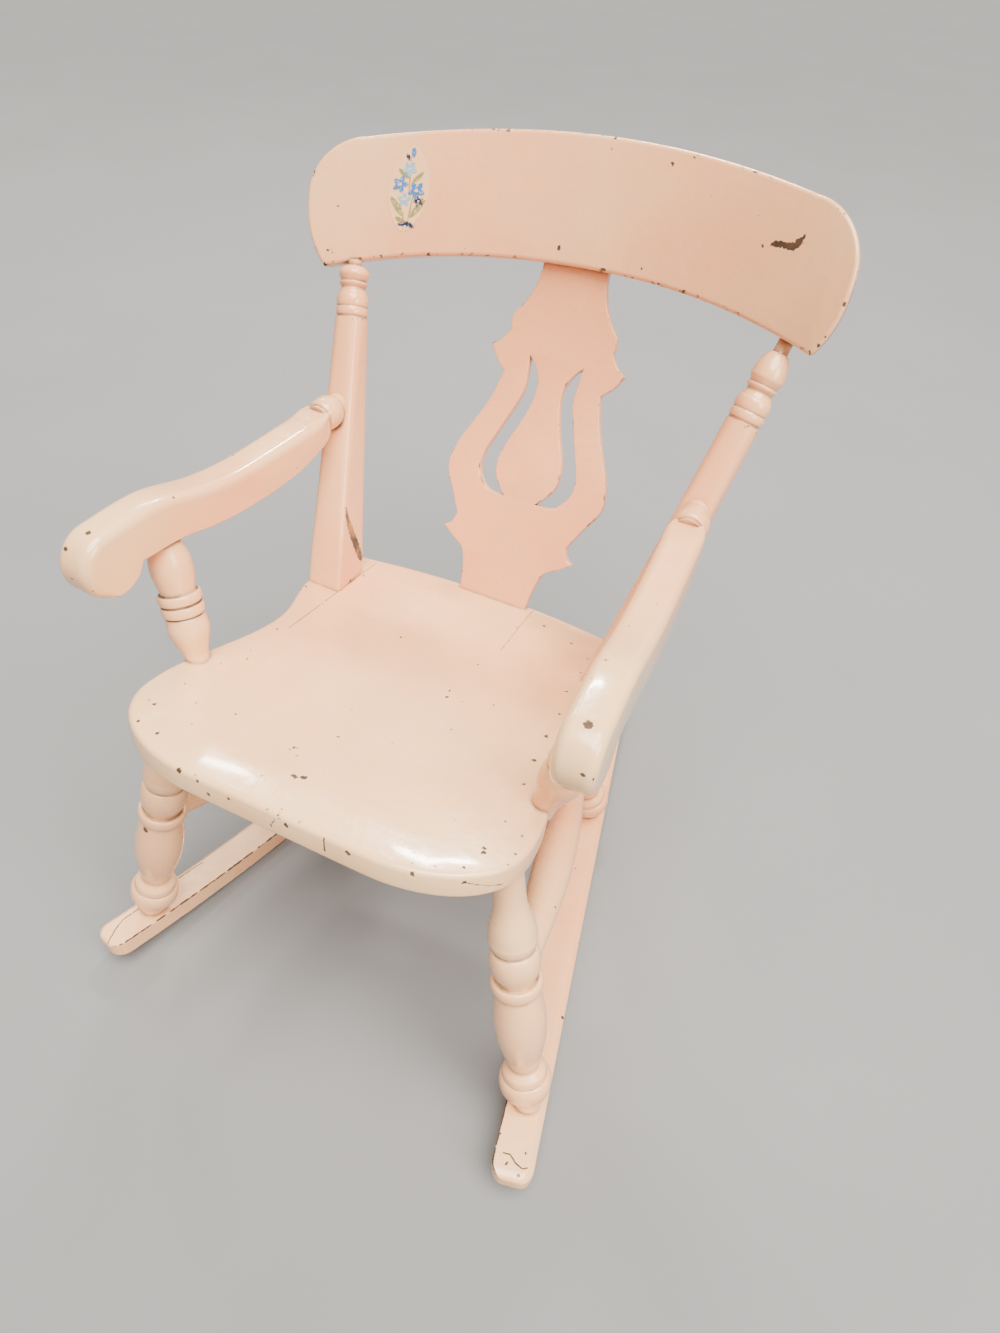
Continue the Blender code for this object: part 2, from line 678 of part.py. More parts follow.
# Turning at the top of a back post, from the end of its shaft up to the widest part of the urn
POST_TURNING = [
    ("straight", 0, 0.0144, 0, 1),
    ("straight", 0.0020, 0.0144, 0, 1),
    ("bead", 0.0085, 0.0144, 0.0013, 4),
    ("bead", 0.0120, 0.0136, 0.0017, 4),
    ("curve", 0.0055, 0.0115, 0, 2),
    ("curve", 0.0040, 0.0137, 0, 2),
    ("straight", 0.0015, 0.0137, 0, 1),
    ("straight", 0, 0.0122, 0, 1),
    ("curve", 0.0075, 0.0149, 0, 4),
]


# A square with rounded corners: power 2 is a circle, and higher powers have crisper corners
def squircle(half_x, half_y, power, z, sides=POST_SIDES):
    ring = []
    for i in range(sides):
        angle = 2.0 * math.pi * i / sides
        c, s = math.cos(angle), math.sin(angle)
        x = half_x * math.copysign(abs(c) ** (2.0 / power), c)
        y = half_y * math.copysign(abs(s) ** (2.0 / power), s)
        ring.append(Vector((x, y, z)))
    return ring


# Rings of a post's raked block and round shaft, from below the seat to the turned top
def shaft_rings(gap=0.0):
    low = -POST_BLOCK[1]
    rings = []
    for i in range(8):
        t = i / 7
        half_x = POST_BLOCK[0] / 2 + (POST_SHAFT_RADIUS - POST_BLOCK[0] / 2) * t + gap
        half_y = POST_BLOCK[1] / 2 + (POST_SHAFT_RADIUS - POST_BLOCK[1] / 2) * t + gap
        power = POST_TOP_POWER + (POST_FOOT_POWER - POST_TOP_POWER) * (1.0 - t) ** 1.6
        rings.append(squircle(half_x, half_y, power, low + (POST_SHAFT_LENGTH - low) * t))
    return rings


# The urn tapers to a small neck. Where the rail stands lower there is less room for the taper.
def post_rings(length):
    points = profile(POST_SHAFT_RADIUS, POST_TURNING, POST_SHAFT_LENGTH)
    urn_top, urn_radius = points[-1]
    taper = min(POST_TAPER, length - POST_NECK_SHOWN - urn_top)
    points += stretch("curve", urn_top, taper, urn_radius, POST_TAPER_RADIUS)[1:]
    points.append((urn_top + taper, POST_NECK_RADIUS))
    points.append((length + POST_TENON, POST_NECK_RADIUS))
    return shaft_rings() + [squircle(r, r, 2.0, z) for z, r in points[1:]]


# A square tenon, or with a gap its mortise, on the centre line of a post
def post_tenon(frame, gap=0.0):
    half_x = POST_BLOCK[0] / 2 - POST_TENON_SHOULDER + gap
    half_y = POST_BLOCK[1] / 2 - POST_TENON_SHOULDER + gap
    corners = ((-half_x, -half_y), (half_x, -half_y), (half_x, half_y), (-half_x, half_y))
    bm = loft([[Vector((x, y, z)) for x, y in corners]
               for z in (-POST_TENON - gap, POST_TENON)])
    bmesh.ops.transform(bm, matrix=frame, verts=bm.verts)
    return bm


def make_posts(boards, rail):
    posts = {}
    for side, hand in (("left", -1.0), ("right", 1.0)):
        foot = seat_point(hand * POST_BASE[0], POST_BASE[1])
        top_x = RAIL_HALF_WIDTH - POST_TOP_INSET
        under = (hand * top_x, rail_foot(top_x), RAIL_THICKNESS / 2)
        level = rail_point(*under, roll=0.0)
        frame = axis_frame(foot, level)
        rise = (level - foot).normalized().z
        length = (level - foot).length + (rail_point(*under).z - level.z) / rise
        bm = loft(post_rings(length))
        bmesh.ops.transform(bm, matrix=frame, verts=bm.verts)
        bmesh.ops.bisect_plane(bm, geom=bm.verts[:] + bm.edges[:] + bm.faces[:],
                               plane_co=foot + seat_normal() * FIT, plane_no=-seat_normal(),
                               dist=0.000005, clear_outer=True)
        bmesh.ops.contextual_create(bm, geom=[e for e in bm.edges if e.is_boundary])
        post = finish(f"back_post_{side}", bm, "pink")
        boolean(post, cutter(f"post_{side}_tenon", post_tenon(frame)), "UNION")
        posts[side] = (post, frame)
        mortise = cutter(f"post_{side}_mortise", post_tenon(frame, FIT))
        boolean(board_at(boards, hand * POST_BASE[0]), mortise)
        hole = round_cutter(f"post_{side}_rail_hole", frame, length - POST_TENON,
                            length + POST_TENON + FIT, POST_NECK_RADIUS + FIT)
        boolean(rail, hole)
    return posts


# The arm's sawing pattern behind its round knuckle, in millimetres back from the knuckle's
# centre and up from it, drawn for this length and thickness
ARM_DRAWN = (268.0, 38.0)
ARM_TOP = [(247.0, 7.3), (163.0, 7.6), (110.0, 14.0), (54.0, 28.5)]
ARM_BELLY = [(67.0, -15.3), (110.0, -24.8), (155.0, -29.7), (209.0, -30.0), (247.0, -21.2)]


def arm_mark(point):
    back, up = point
    return (back / ARM_DRAWN[0] * ARM_LENGTH, up / ARM_DRAWN[1] * ARM_THICKNESS)


# The arm's end at the collar: its height there, up or down from the collar's centre line
def arm_tail(side):
    return (ARM_LENGTH, side * ARM_TAIL_THICKNESS / 2 - ARM_TAIL_DROP)


def arm_knuckle(share):
    angle = math.pi / 2 + ARM_KNUCKLE_TURN * share
    return (ARM_KNUCKLE_RADIUS * math.cos(angle), ARM_KNUCKLE_RADIUS * math.sin(angle))


def arm_belly():
    return smooth([arm_knuckle(1.0)] + [arm_mark(p) for p in ARM_BELLY] + [arm_tail(-1)], 2)


def arm_outline():
    top = smooth([arm_tail(1)] + [arm_mark(p) for p in ARM_TOP] + [arm_knuckle(0.0)], 2)
    knuckle = [arm_knuckle(i / 12) for i in range(1, 13)]
    return top + knuckle + arm_belly()[1:]


def arm_bar(frame):
    bm = bmesh.new()
    half = ARM_WIDTH_FRONT / 2
    face = bm.faces.new([bm.verts.new((-half, a, z)) for a, z in arm_outline()])
    grown = bmesh.ops.extrude_face_region(bm, geom=[face])
    moved = [g for g in grown["geom"] if isinstance(g, bmesh.types.BMVert)]
    bmesh.ops.translate(bm, vec=(ARM_WIDTH_FRONT, 0, 0), verts=moved)
    bmesh.ops.recalc_face_normals(bm, faces=bm.faces)
    rim = [e for e in bm.edges if abs(e.verts[0].co.x - e.verts[1].co.x) < 1e-6]
    bmesh.ops.bevel(bm, geom=rim, offset=ARM_ARRIS, affect="EDGES", segments=2, profile=0.5,
                    material=-1)
    for vert in bm.verts:
        taper = vert.co.y / ARM_LENGTH
        vert.co.x *= 1.0 + (ARM_WIDTH_REAR / ARM_WIDTH_FRONT - 1.0) * taper
    bmesh.ops.transform(bm, matrix=frame, verts=bm.verts)
    return bm


# Where a post's centre line stands at a given height
def post_at_height(frame, z):
    start = frame.translation
    along = frame.to_3x3() @ Vector((0, 0, 1))
    return start + along * ((z - start.z) / along.z)


COLLAR_TURNING = [
    ("straight", ARM_COLLAR_AT / 3, ARM_NECK_RADIUS, 0, 1),
    ("bead", 2.2 * ARM_COLLAR_AT, ARM_NECK_RADIUS, ARM_COLLAR_RADIUS - ARM_NECK_RADIUS, 7),
]


def make_arms(boards, posts):
    drop = Vector((0, 0, -ARM_TAIL_DROP))
    for side, hand in (("left", -1.0), ("right", 1.0)):
        post, post_frame = posts[side]
        front = Vector((hand * ARM_FRONT[0], ARM_FRONT[1], ARM_FRONT[2]))
        back = post_at_height(post_frame, front.z - ARM_TAIL_DROP)
        run = Vector((back.x - front.x, back.y - front.y, 0.0))
        across = run.cross(Vector((0, 0, 1))).normalized()
        axes = Matrix((across, run.normalized(), Vector((0, 0, 1)))).transposed().to_4x4()
        frame = Matrix.Translation(front) @ axes
        arm = finish(f"arm_{side}", arm_bar(frame), "cream")
        make_support(side, hand, boards, arm, frame)
        neck = frame @ (Vector((0, ARM_LENGTH - ARM_COLLAR_AT / 2, 0)) + drop)
        collar_frame = axis_frame(neck, frame @ (Vector((0, ARM_LENGTH * 2, 0)) + drop))
        collar = revolve(profile(ARM_NECK_RADIUS, COLLAR_TURNING), collar_frame)
        boolean(arm, cutter(f"arm_{side}_collar", collar), "UNION")
        gauge = loft(shaft_rings(FIT))
        bmesh.ops.transform(gauge, matrix=post_frame, verts=gauge.verts)
        boolean(arm, cutter(f"arm_{side}_post_gauge", gauge))
        reach = (back - neck).length - POST_SHAFT_RADIUS + ARM_TENON
        pin = [(ARM_COLLAR_AT, ARM_TENON_RADIUS), (reach, ARM_TENON_RADIUS)]
        boolean(arm, cutter(f"arm_{side}_tenon", revolve(pin, collar_frame)), "UNION")
        boolean(post, round_cutter(f"arm_{side}_hole", collar_frame, ARM_COLLAR_AT, reach + FIT,
                                   ARM_TENON_RADIUS + FIT))


# Turning of an arm support, from the seat up to the arm
SUPPORT_TURNING = [
    ("curve", 0.0300, 0.0183, 0, 4),
    ("straight", 0.0090, 0.0172, 0, 1),
    ("curve", 0.0030, 0.0155, 0, 1),
    ("straight", 0, 0.0175, 0, 1),
    ("bead", 0.0090, 0.0175, 0.0012, 3),
    ("straight", 0, 0.0158, 0, 1),
    ("straight", 0.0020, 0.0158, 0, 1),
    ("straight", 0, 0.0178, 0, 1),
    ("bead", 0.0085, 0.0178, 0.0012, 3),
    ("straight", 0, 0.0150, 0, 1),
    ("straight", 0.0030, 0.0152, 0, 1),
    ("barrel", 0.0460, 0.0110, 0.0050, 5),
]


def make_support(side, hand, boards, arm, arm_frame):
    foot = seat_point(hand * SUPPORT_FOOT[0], SUPPORT_FOOT[1])
    under = reading(arm_belly(), SUPPORT_BEHIND_KNUCKLE)
    crown = arm_frame @ Vector((0.0, SUPPORT_BEHIND_KNUCKLE, under))
    frame = axis_frame(foot, crown)
    length = (crown - foot).length
    drawn_length = sum(step[1] for step in SUPPORT_TURNING)
    turning = [(k, d * length / drawn_length, r, s, n) for k, d, r, s, n in SUPPORT_TURNING]
    tenon = [("straight", SUPPORT_TENON, SUPPORT_FOOT_RADIUS, 0, 1)]
    points = profile(SUPPORT_FOOT_RADIUS, tenon + turning, -SUPPORT_TENON)
    points.append((length + SUPPORT_TENON, points[-1][1]))
    finish(f"arm_support_{side}", revolve(points, frame), "pink")
    foot_hole = round_cutter(f"support_{side}_foot_hole", frame, -SUPPORT_TENON - FIT,
                             SUPPORT_TENON, SUPPORT_FOOT_RADIUS + FIT)
    boolean(board_at(boards, hand * SUPPORT_FOOT[0]), foot_hole)
    gauge = [(z, r + FIT) for z, r in points if z > length - 2.0 * SUPPORT_TENON]
    gauge.append((length + SUPPORT_TENON + FIT, gauge[-1][1]))
    boolean(arm, cutter(f"support_{side}_top_hole", revolve(gauge, frame)))


# A stretcher swells evenly between two plain ends that are socketed into its neighbours.
# Each host is an object, the radius that it has there and the place on its centre line.
def add_stretcher(name, hosts, end_radius, barrel_radius):
    (first, first_radius, start), (last, last_radius, end) = hosts
    along = (end - start).normalized()
    start = start + along * (first_radius - STRETCHER_TENON)
    end = end - along * (last_radius - STRETCHER_TENON)
    frame = axis_frame(start, end)
    length = (end - start).length
    plain = STRETCHER_TENON + STRETCHER_NECK
    points = profile(end_radius, [
        ("straight", plain, end_radius, 0, 1),
        ("barrel", length - 2.0 * plain, end_radius, barrel_radius - end_radius, 10),
        ("straight", plain, end_radius, 0, 1)])
    stretcher = finish(name, revolve(points, frame), "cream")
    reach = 2.0 * plain
    for host, low, high in ((first, -FIT, reach), (last, length - reach, length + FIT)):
        hole = round_cutter(f"{name}_in_{host.name}", frame, low, high, end_radius + FIT)
        boolean(host, hole)
    return stretcher, frame, points


def make_stretchers(legs):
    crossing = []
    for side in ("left", "right"):
        hosts = []
        for place, at in (("front", STRETCHER_FRONT_AT), ("rear", STRETCHER_REAR_AT)):
            leg, frame, points = legs[(place, side)]
            hosts.append((leg, reading(points, at), frame @ Vector((0, 0, at))))
        bar, frame, points = add_stretcher(f"side_stretcher_{side}", hosts,
                                           STRETCHER_END_RADIUS, STRETCHER_BARREL_RADIUS)
        at = points[-1][0] * CROSS_AT
        crossing.append((bar, reading(points, at), frame @ Vector((0, 0, at))))
    add_stretcher("cross_stretcher", crossing, CROSS_END_RADIUS, CROSS_BARREL_RADIUS)


rockers = make_rockers()
boards = make_seat()
rail = make_rail()
legs = make_legs(boards, rockers)
make_stretchers(legs)
make_splat(boards["seat_board_centre"], rail)
posts = make_posts(boards, rail)
make_arms(boards, posts)
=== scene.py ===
"""A child's rocking chair in old cream and pink gloss paint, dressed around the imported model.

Units are metres. The chair faces -Y, +X is to the right of someone who stands in front of it,
and +Z is up. Left and right in the pieces' names are that person's too.
"""
import math

import bmesh
import bpy
import numpy as np
from mathutils import Matrix, Vector


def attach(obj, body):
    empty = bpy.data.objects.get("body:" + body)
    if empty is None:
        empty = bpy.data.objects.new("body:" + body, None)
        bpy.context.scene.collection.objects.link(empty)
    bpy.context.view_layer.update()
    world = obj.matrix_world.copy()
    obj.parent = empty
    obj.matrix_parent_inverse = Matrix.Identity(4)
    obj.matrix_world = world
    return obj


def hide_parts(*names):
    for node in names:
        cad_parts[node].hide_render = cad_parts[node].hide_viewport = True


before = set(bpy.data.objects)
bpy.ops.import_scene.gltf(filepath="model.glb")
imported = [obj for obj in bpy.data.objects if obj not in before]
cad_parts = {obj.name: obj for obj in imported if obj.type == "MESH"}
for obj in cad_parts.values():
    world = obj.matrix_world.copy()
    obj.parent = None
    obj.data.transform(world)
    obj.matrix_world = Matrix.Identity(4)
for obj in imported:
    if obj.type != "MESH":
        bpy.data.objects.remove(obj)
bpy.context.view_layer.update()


# Rockers: two hardwood runners sawn to a long arc, rounded at the toes and painted over. Their
# gloss has turned dull, and years of rubbing have worn the long edges down to the dark wood.
ROCKER_LENGTH = 0.640
ROCKER_SHIFT = 0.007
ROCKER_RADIUS = 1.500
ROCKER_CONTACT_Y = -0.022
ROCKER_WIDTH = 0.038
ROCKER_HEIGHT = 0.022
ROCKER_CHAMFER = 0.006
ROCKER_EASE = 0.0017
ROCKER_SHOULDER = 1.6
ROCKER_TOE_RADIUS = 0.015
ROCKER_TOE_SHARE = 0.35
ROCKER_WORN_FLAT = 0.050
ROCKER_CONVERGENCE = 0.225
FRONT_FOOT = (0.221, -0.256)

CREAM = (0.94, 0.58, 0.28, 1.0)
PINK = (0.93, 0.385, 0.17, 1.0)
# Brown blended into corners, joins and grooves: partly grime, partly painted shade
GRIME_AND_SHADE_BROWN = (0.11, 0.055, 0.028, 1.0)
BARE_WOOD = (0.050, 0.026, 0.014, 1.0)
PALE_WOOD = (0.42, 0.19, 0.055, 1.0)


# One step of a paint's recipe. What feeds it is a number, a colour or another step's socket.
def stir(tree, kind, feeds=(), **settings):
    made = tree.nodes.new("ShaderNode" + kind)
    for key, value in settings.items():
        setattr(made, key, value)
    for socket, value in feeds:
        if isinstance(value, bpy.types.NodeSocket):
            tree.links.new(value, made.inputs[socket])
        else:
            made.inputs[socket].default_value = value
    return made


def reckon(tree, operation, first, second=0.0, clamp=False):
    return stir(tree, "Math", [(0, first), (1, second)], operation=operation,
                use_clamp=clamp).outputs[0]


def between(tree, value, low, high, to_low=0.0, to_high=1.0):
    return stir(tree, "MapRange", [(0, value), (1, low), (2, high), (3, to_low), (4, to_high)],
                interpolation_type="SMOOTHSTEP").outputs[0]


def blend(tree, share, first, second):
    return stir(tree, "Mix", [(0, share), (6, first), (7, second)],
                data_type="RGBA").outputs[2]


def mottle(tree, where, scale, detail=2.0, roughness=0.5, output=0):
    return stir(tree, "TexNoise", [("Vector", where), ("Scale", scale), ("Detail", detail),
                                   ("Roughness", roughness)]).outputs[output]


def wander(tree, where, swing, reach):
    return stir(tree, "VectorMath", [(0, swing), (1, (reach, reach, reach)), (2, where)],
                operation="MULTIPLY_ADD").outputs[0]


# How far away the rim of the nearest chip is, below zero inside it. Each chip is its x, y, z and
# radius in millimetres.
def chipped(tree, ragged, spots):
    nearest = 1.0
    for x, y, z, radius in spots:
        away = stir(tree, "VectorMath", [(0, ragged), (1, (x / 1e3, y / 1e3, z / 1e3))],
                    operation="DISTANCE").outputs["Value"]
        nearest = reckon(tree, "MINIMUM", reckon(tree, "SUBTRACT", away, radius / 1e3), nearest)
    return nearest


# How far away the rim of the nearest split is. Each split has its half width in millimetres, the
# axes that it is measured along, and the points in millimetres that it runs through.
def splitting(tree, where, splits):
    nearest = 1.0
    for half_width, axes, points in splits:
        seen = stir(tree, "VectorMath", [(0, where), (1, axes)], operation="MULTIPLY").outputs[0]
        flat = [Vector(p) * Vector(axes) / 1e3 for p in points]
        for start, end in zip(flat, flat[1:]):
            run = end - start
            on = stir(tree, "VectorMath", [(0, seen), (1, start)], operation="SUBTRACT").outputs[0]
            share = stir(tree, "VectorMath", [(0, on), (1, run / run.length_squared)],
                         operation="DOT_PRODUCT").outputs["Value"]
            share = reckon(tree, "ADD", share, 0.0, clamp=True)
            off = stir(tree, "VectorMath", [(0, share), (1, -run), (2, on)],
                       operation="MULTIPLY_ADD").outputs[0]
            away = stir(tree, "VectorMath", [(0, off)], operation="LENGTH").outputs["Value"]
            away = reckon(tree, "SUBTRACT", away, half_width / 1e3)
            nearest = reckon(tree, "MINIMUM", nearest, away)
    return nearest


# The paint's patterns, in waves or cells to the metre
COLOUR_DRIFTS = 6.0
SAGS = 22.0
BRUSH_MARKS = 48.0
FLECKS = 75.0
RUBBED_PATCHES = 95.0
LUMPS = 120.0
CRAZE = 170.0
RAGGED_RIMS = 330.0
GRAIN = 520.0
# Their heights and depths, and the paint's own thickness, in millimetres
SAG_HEIGHT = 0.30
BRUSH_HEIGHT = 0.20
LUMP_HEIGHT = 0.15
GRAIN_HEIGHT = 0.045
CRAZE_DEPTH = 0.012
PAINT_THICKNESS = 0.14
# How far grime and painted corner shade reach out of a corner, and how far the rims of chips and
# splits wander
GRIME_AND_SHADE_CORNER = 0.005
CHIP_WANDER = 0.005
SPLIT_WANDER = 0.0014
SHADED_PAINT = (0.62, 0.47, 0.34, 1.0)
COAT_WEIGHT = 0.5
COAT_ROUGHNESS = 0.08
PAINT_SPECULAR = 0.45
GRIME_AND_SHADE_STRENGTH = 0.92
# How dark chips and rubbed edges are: 0 is the scrape's mottled wood, 1 is plain dark wood
CHIP_DARKNESS = 0.85


# Old gloss paint between cream and pink: painted creamier on upward faces, a painted top light,
# and pinker towards the back, a painted glow of reflected light.
# worn: how far its edges are rubbed through. pits: how many small flecks are knocked out.
# spots, scrape and splits: where it is chipped, scraped and split.
def old_gloss(name, pink, gloss, worn, pits, grime_and_shade_amount=1.0, spots=(), scrape=(), splits=()):
    paint = bpy.data.materials.new(name)
    paint.use_nodes = True
    tree = paint.node_tree
    shader = tree.nodes["Principled BSDF"]
    place = stir(tree, "TexCoord")
    where = place.outputs["Object"]
    facing = stir(tree, "SeparateXYZ", [(0, place.outputs["Normal"])]).outputs[2]
    depth = stir(tree, "SeparateXYZ", [(0, where)]).outputs[1]
    broad = mottle(tree, where, COLOUR_DRIFTS)
    brushed = mottle(tree, where, BRUSH_MARKS, 5.0, 0.6)
    fine = mottle(tree, where, GRAIN, 3.0, 0.6)

    # Upward faces are painted creamier and lighter: a painted top light
    painted_top_light = reckon(tree, "MULTIPLY", facing, -0.18)
    drift = between(tree, broad, 0.3, 0.7, -0.25, 0.25)
    # Pinker towards the back (+Y): a painted glow of reflected light
    painted_glow_towards_back = between(tree, depth, -0.28, 0.05, -0.35, 0.25)
    share = reckon(tree, "ADD", reckon(tree, "ADD", pink, drift), painted_top_light)
    share = reckon(tree, "ADD", share, painted_glow_towards_back, clamp=True)
    colour = blend(tree, share, CREAM, PINK)
    shade = between(tree, brushed, 0.25, 0.75, 0.0, 0.10)
    colour = blend(tree, shade, colour, SHADED_PAINT)

    # Darkening in corners, joins and turned grooves: partly grime, partly painted shade where light
    # is blocked
    painted_corner_shade = stir(tree, "AmbientOcclusion", [("Distance", GRIME_AND_SHADE_CORNER)], samples=6).outputs["AO"]
    painted_corner_shade = between(tree, painted_corner_shade, 0.95, 0.45)
    groove = stir(tree, "Attribute", attribute_name="groove_grime_and_shade").outputs["Fac"]
    rub = between(tree, brushed, 0.30, 0.68, 0.35, 1.0)
    grime_and_shade = reckon(tree, "MULTIPLY", reckon(tree, "ADD", painted_corner_shade, groove, clamp=True), rub)
    grime_and_shade = reckon(tree, "MULTIPLY", grime_and_shade, GRIME_AND_SHADE_STRENGTH * grime_and_shade_amount, clamp=True)
    colour = blend(tree, grime_and_shade, colour, GRIME_AND_SHADE_BROWN)

    edge = stir(tree, "Attribute", attribute_name="edge").outputs["Fac"]
    broken = mottle(tree, where, RUBBED_PATCHES, 6.0, 0.7)
    rubbed = reckon(tree, "ADD", reckon(tree, "MULTIPLY", edge, worn), broken)
    rubbed = between(tree, rubbed, 0.86, 0.90)

    cells = stir(tree, "TexVoronoi", [("Vector", where), ("Scale", FLECKS)])
    pick = stir(tree, "SeparateXYZ", [(0, cells.outputs["Color"])])
    size = between(tree, pick.outputs[0], 1.0 - pits, 1.0, 0.0, 0.085)
    ragged_size = reckon(tree, "MULTIPLY", size, between(tree, fine, 0.3, 0.7, 0.6, 1.4))
    fleck = reckon(tree, "LESS_THAN", cells.outputs["Distance"], ragged_size)
    bare = reckon(tree, "MAXIMUM", rubbed, fleck)

    swing = mottle(tree, where, RAGGED_RIMS, 3.0, 0.6, "Color")
    swing = stir(tree, "VectorMath", [(0, swing), (1, (0.5, 0.5, 0.5))],
                 operation="SUBTRACT").outputs[0]
    ragged = wander(tree, where, swing, CHIP_WANDER)
    if spots:
        knocked = between(tree, chipped(tree, ragged, spots), 0.0003, -0.0001)
        bare = reckon(tree, "MAXIMUM", bare, knocked)
    if splits:
        straying = wander(tree, where, swing, SPLIT_WANDER)
        split = between(tree, splitting(tree, straying, splits), 0.0003, -0.0001)
        split = reckon(tree, "MULTIPLY", split, between(tree, broken, 0.40, 0.46))
        bare = reckon(tree, "MAXIMUM", bare, split)
    wood = blend(tree, between(tree, brushed, 0.4, 0.65), BARE_WOOD, PALE_WOOD)
    colour = blend(tree, bare, colour, blend(tree, CHIP_DARKNESS, wood, BARE_WOOD))
    if scrape:
        grazed = between(tree, chipped(tree, ragged, scrape), 0.0004, -0.0008)
        colour = blend(tree, grazed, colour, wood)
        bare = reckon(tree, "MAXIMUM", bare, grazed)
    tree.links.new(colour, shader.inputs["Base Color"])

    dull = between(tree, brushed, 0.3, 0.7, gloss - 0.06, gloss + 0.10)
    dull = reckon(tree, "ADD", dull, reckon(tree, "MULTIPLY", grime_and_shade, 0.25))
    dull = reckon(tree, "ADD", dull, reckon(tree, "MULTIPLY", bare, 0.35), clamp=True)
    tree.links.new(dull, shader.inputs["Roughness"])
    shader.inputs["Coat Weight"].default_value = COAT_WEIGHT
    shader.inputs["Coat Roughness"].default_value = COAT_ROUGHNESS
    shader.inputs["Specular IOR Level"].default_value = PAINT_SPECULAR

    # Sags of thick paint, brush marks, lumps, grain, craze and the sunken chips
    edges = stir(tree, "TexVoronoi", [("Vector", ragged), ("Scale", CRAZE)],
                 feature="DISTANCE_TO_EDGE").outputs["Distance"]
    height = between(tree, edges, 0.0, 0.08, -CRAZE_DEPTH, 0.0)
    for pattern, millimetres in (
            (mottle(tree, where, SAGS), SAG_HEIGHT), (brushed, BRUSH_HEIGHT),
            (mottle(tree, where, LUMPS, 1.0), LUMP_HEIGHT), (fine, GRAIN_HEIGHT),
            (bare, -PAINT_THICKNESS)):
        height = reckon(tree, "ADD", height, reckon(tree, "MULTIPLY", pattern, millimetres))
    relief = stir(tree, "Bump", [("Height", height), ("Distance", 0.001), ("Strength", 1.0)])
    tree.links.new(relief.outputs[0], shader.inputs["Normal"])
    return paint


# The share of an edge's wear that reaches the points beside it
WEAR_BESIDE = 0.6


# Marks the crisp outward edges of a shape, where paint rubs through first, by their bend in
# degrees, from the least that wears to one that wears in full
def mark_edges(bm, least=12.0, full=20.0):
    layer = bm.verts.layers.float.get("edge") or bm.verts.layers.float.new("edge")
    for vert in bm.verts:
        bend = max((e.calc_face_angle_signed(0.0) for e in vert.link_edges), default=0.0)
        vert[layer] = min(max((math.degrees(bend) - least) / (full - least), 0.0), 1.0)
    beside = {v: WEAR_BESIDE * max(e.other_vert(v)[layer] for e in v.link_edges)
              for v in bm.verts}
    for vert, reached in beside.items():
        vert[layer] = max(vert[layer], reached)


# Corners sharper than this stay crisp under the paint
CREASE = math.radians(50.0)
# Points nearer to each other than this are one point
WELD = 0.00001


# Puts a finished shape in its place, with its paint, over the plain solid that it stands for
def set_in_place(name, bm, coat, node):
    bmesh.ops.remove_doubles(bm, verts=bm.verts, dist=WELD)
    bmesh.ops.recalc_face_normals(bm, faces=bm.faces)
    mesh = bpy.data.meshes.new(name)
    bm.to_mesh(mesh)
    bm.free()
    mesh.shade_smooth()
    mesh.set_sharp_from_angle(angle=CREASE)
    mesh.materials.append(coat)
    piece = bpy.data.objects.new(name, mesh)
    bpy.context.collection.objects.link(piece)
    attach(piece, "root")
    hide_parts(node)
    return piece


# A solid drawn through rings of points and closed at both ends
def loft(rings):
    bm = bmesh.new()
    first = [bm.verts.new(p) for p in rings[0]]
    cap = bm.faces.new(first)
    for ring in rings[1:]:
        cap = bmesh.ops.extrude_discrete_faces(bm, faces=[cap])["faces"][0]
        for vert, point in zip(cap.verts, ring):
            vert.co = point
    bm.faces.new(first)
    bmesh.ops.recalc_face_normals(bm, faces=bm.faces)
    return bm


def rocker_x(y):
    return FRONT_FOOT[0] - ROCKER_CONVERGENCE * (y - FRONT_FOOT[1])


def rocker_under(y):
    reach = max(abs(y - ROCKER_CONTACT_Y) - ROCKER_WORN_FLAT / 2.0, 0.0)
    return ROCKER_RADIUS - math.sqrt(ROCKER_RADIUS ** 2 - reach ** 2)


def rocker_top(y):
    return rocker_under(y) + ROCKER_HEIGHT


# A polygon's corners, each rounded by a small arc with a plain point on either side of it
def rounded(corners, ease, shoulder):
    points = []
    for i, corner in enumerate(corners):
        corner = Vector(corner)
        back = (Vector(corners[i - 1]) - corner).normalized()
        on = (Vector(corners[(i + 1) % len(corners)]) - corner).normalized()
        points.append(corner + back * shoulder)
        for t in (0.0, 0.25, 0.5, 0.75, 1.0):
            points.append(corner + back * ease * (1.0 - t) ** 2 + on * ease * t ** 2)
        points.append(corner + on * shoulder)
    return points


def rocker_ring(y, hand, share):
    across = Vector((1.0, ROCKER_CONVERGENCE, 0.0)).normalized()
    centre = Vector((rocker_x(y), y, 0.0))
    half = ROCKER_WIDTH / 2 * share
    drawn_in = ROCKER_HEIGHT * (1.0 - share) / 4.0
    low = rocker_under(y) + drawn_in
    high = rocker_top(y) - 2.0 * drawn_in
    chamfer = ROCKER_CHAMFER * share
    corners = [(-half, low), (half, low), (half, high - chamfer), (half - chamfer, high),
               (-half, high)]
    section = rounded(corners, ROCKER_EASE * share, ROCKER_EASE * ROCKER_SHOULDER * share)
    ring = [centre + across * p.x + Vector((0, 0, p.y)) for p in section]
    return [Vector((hand * p.x, p.y, p.z)) for p in ring]


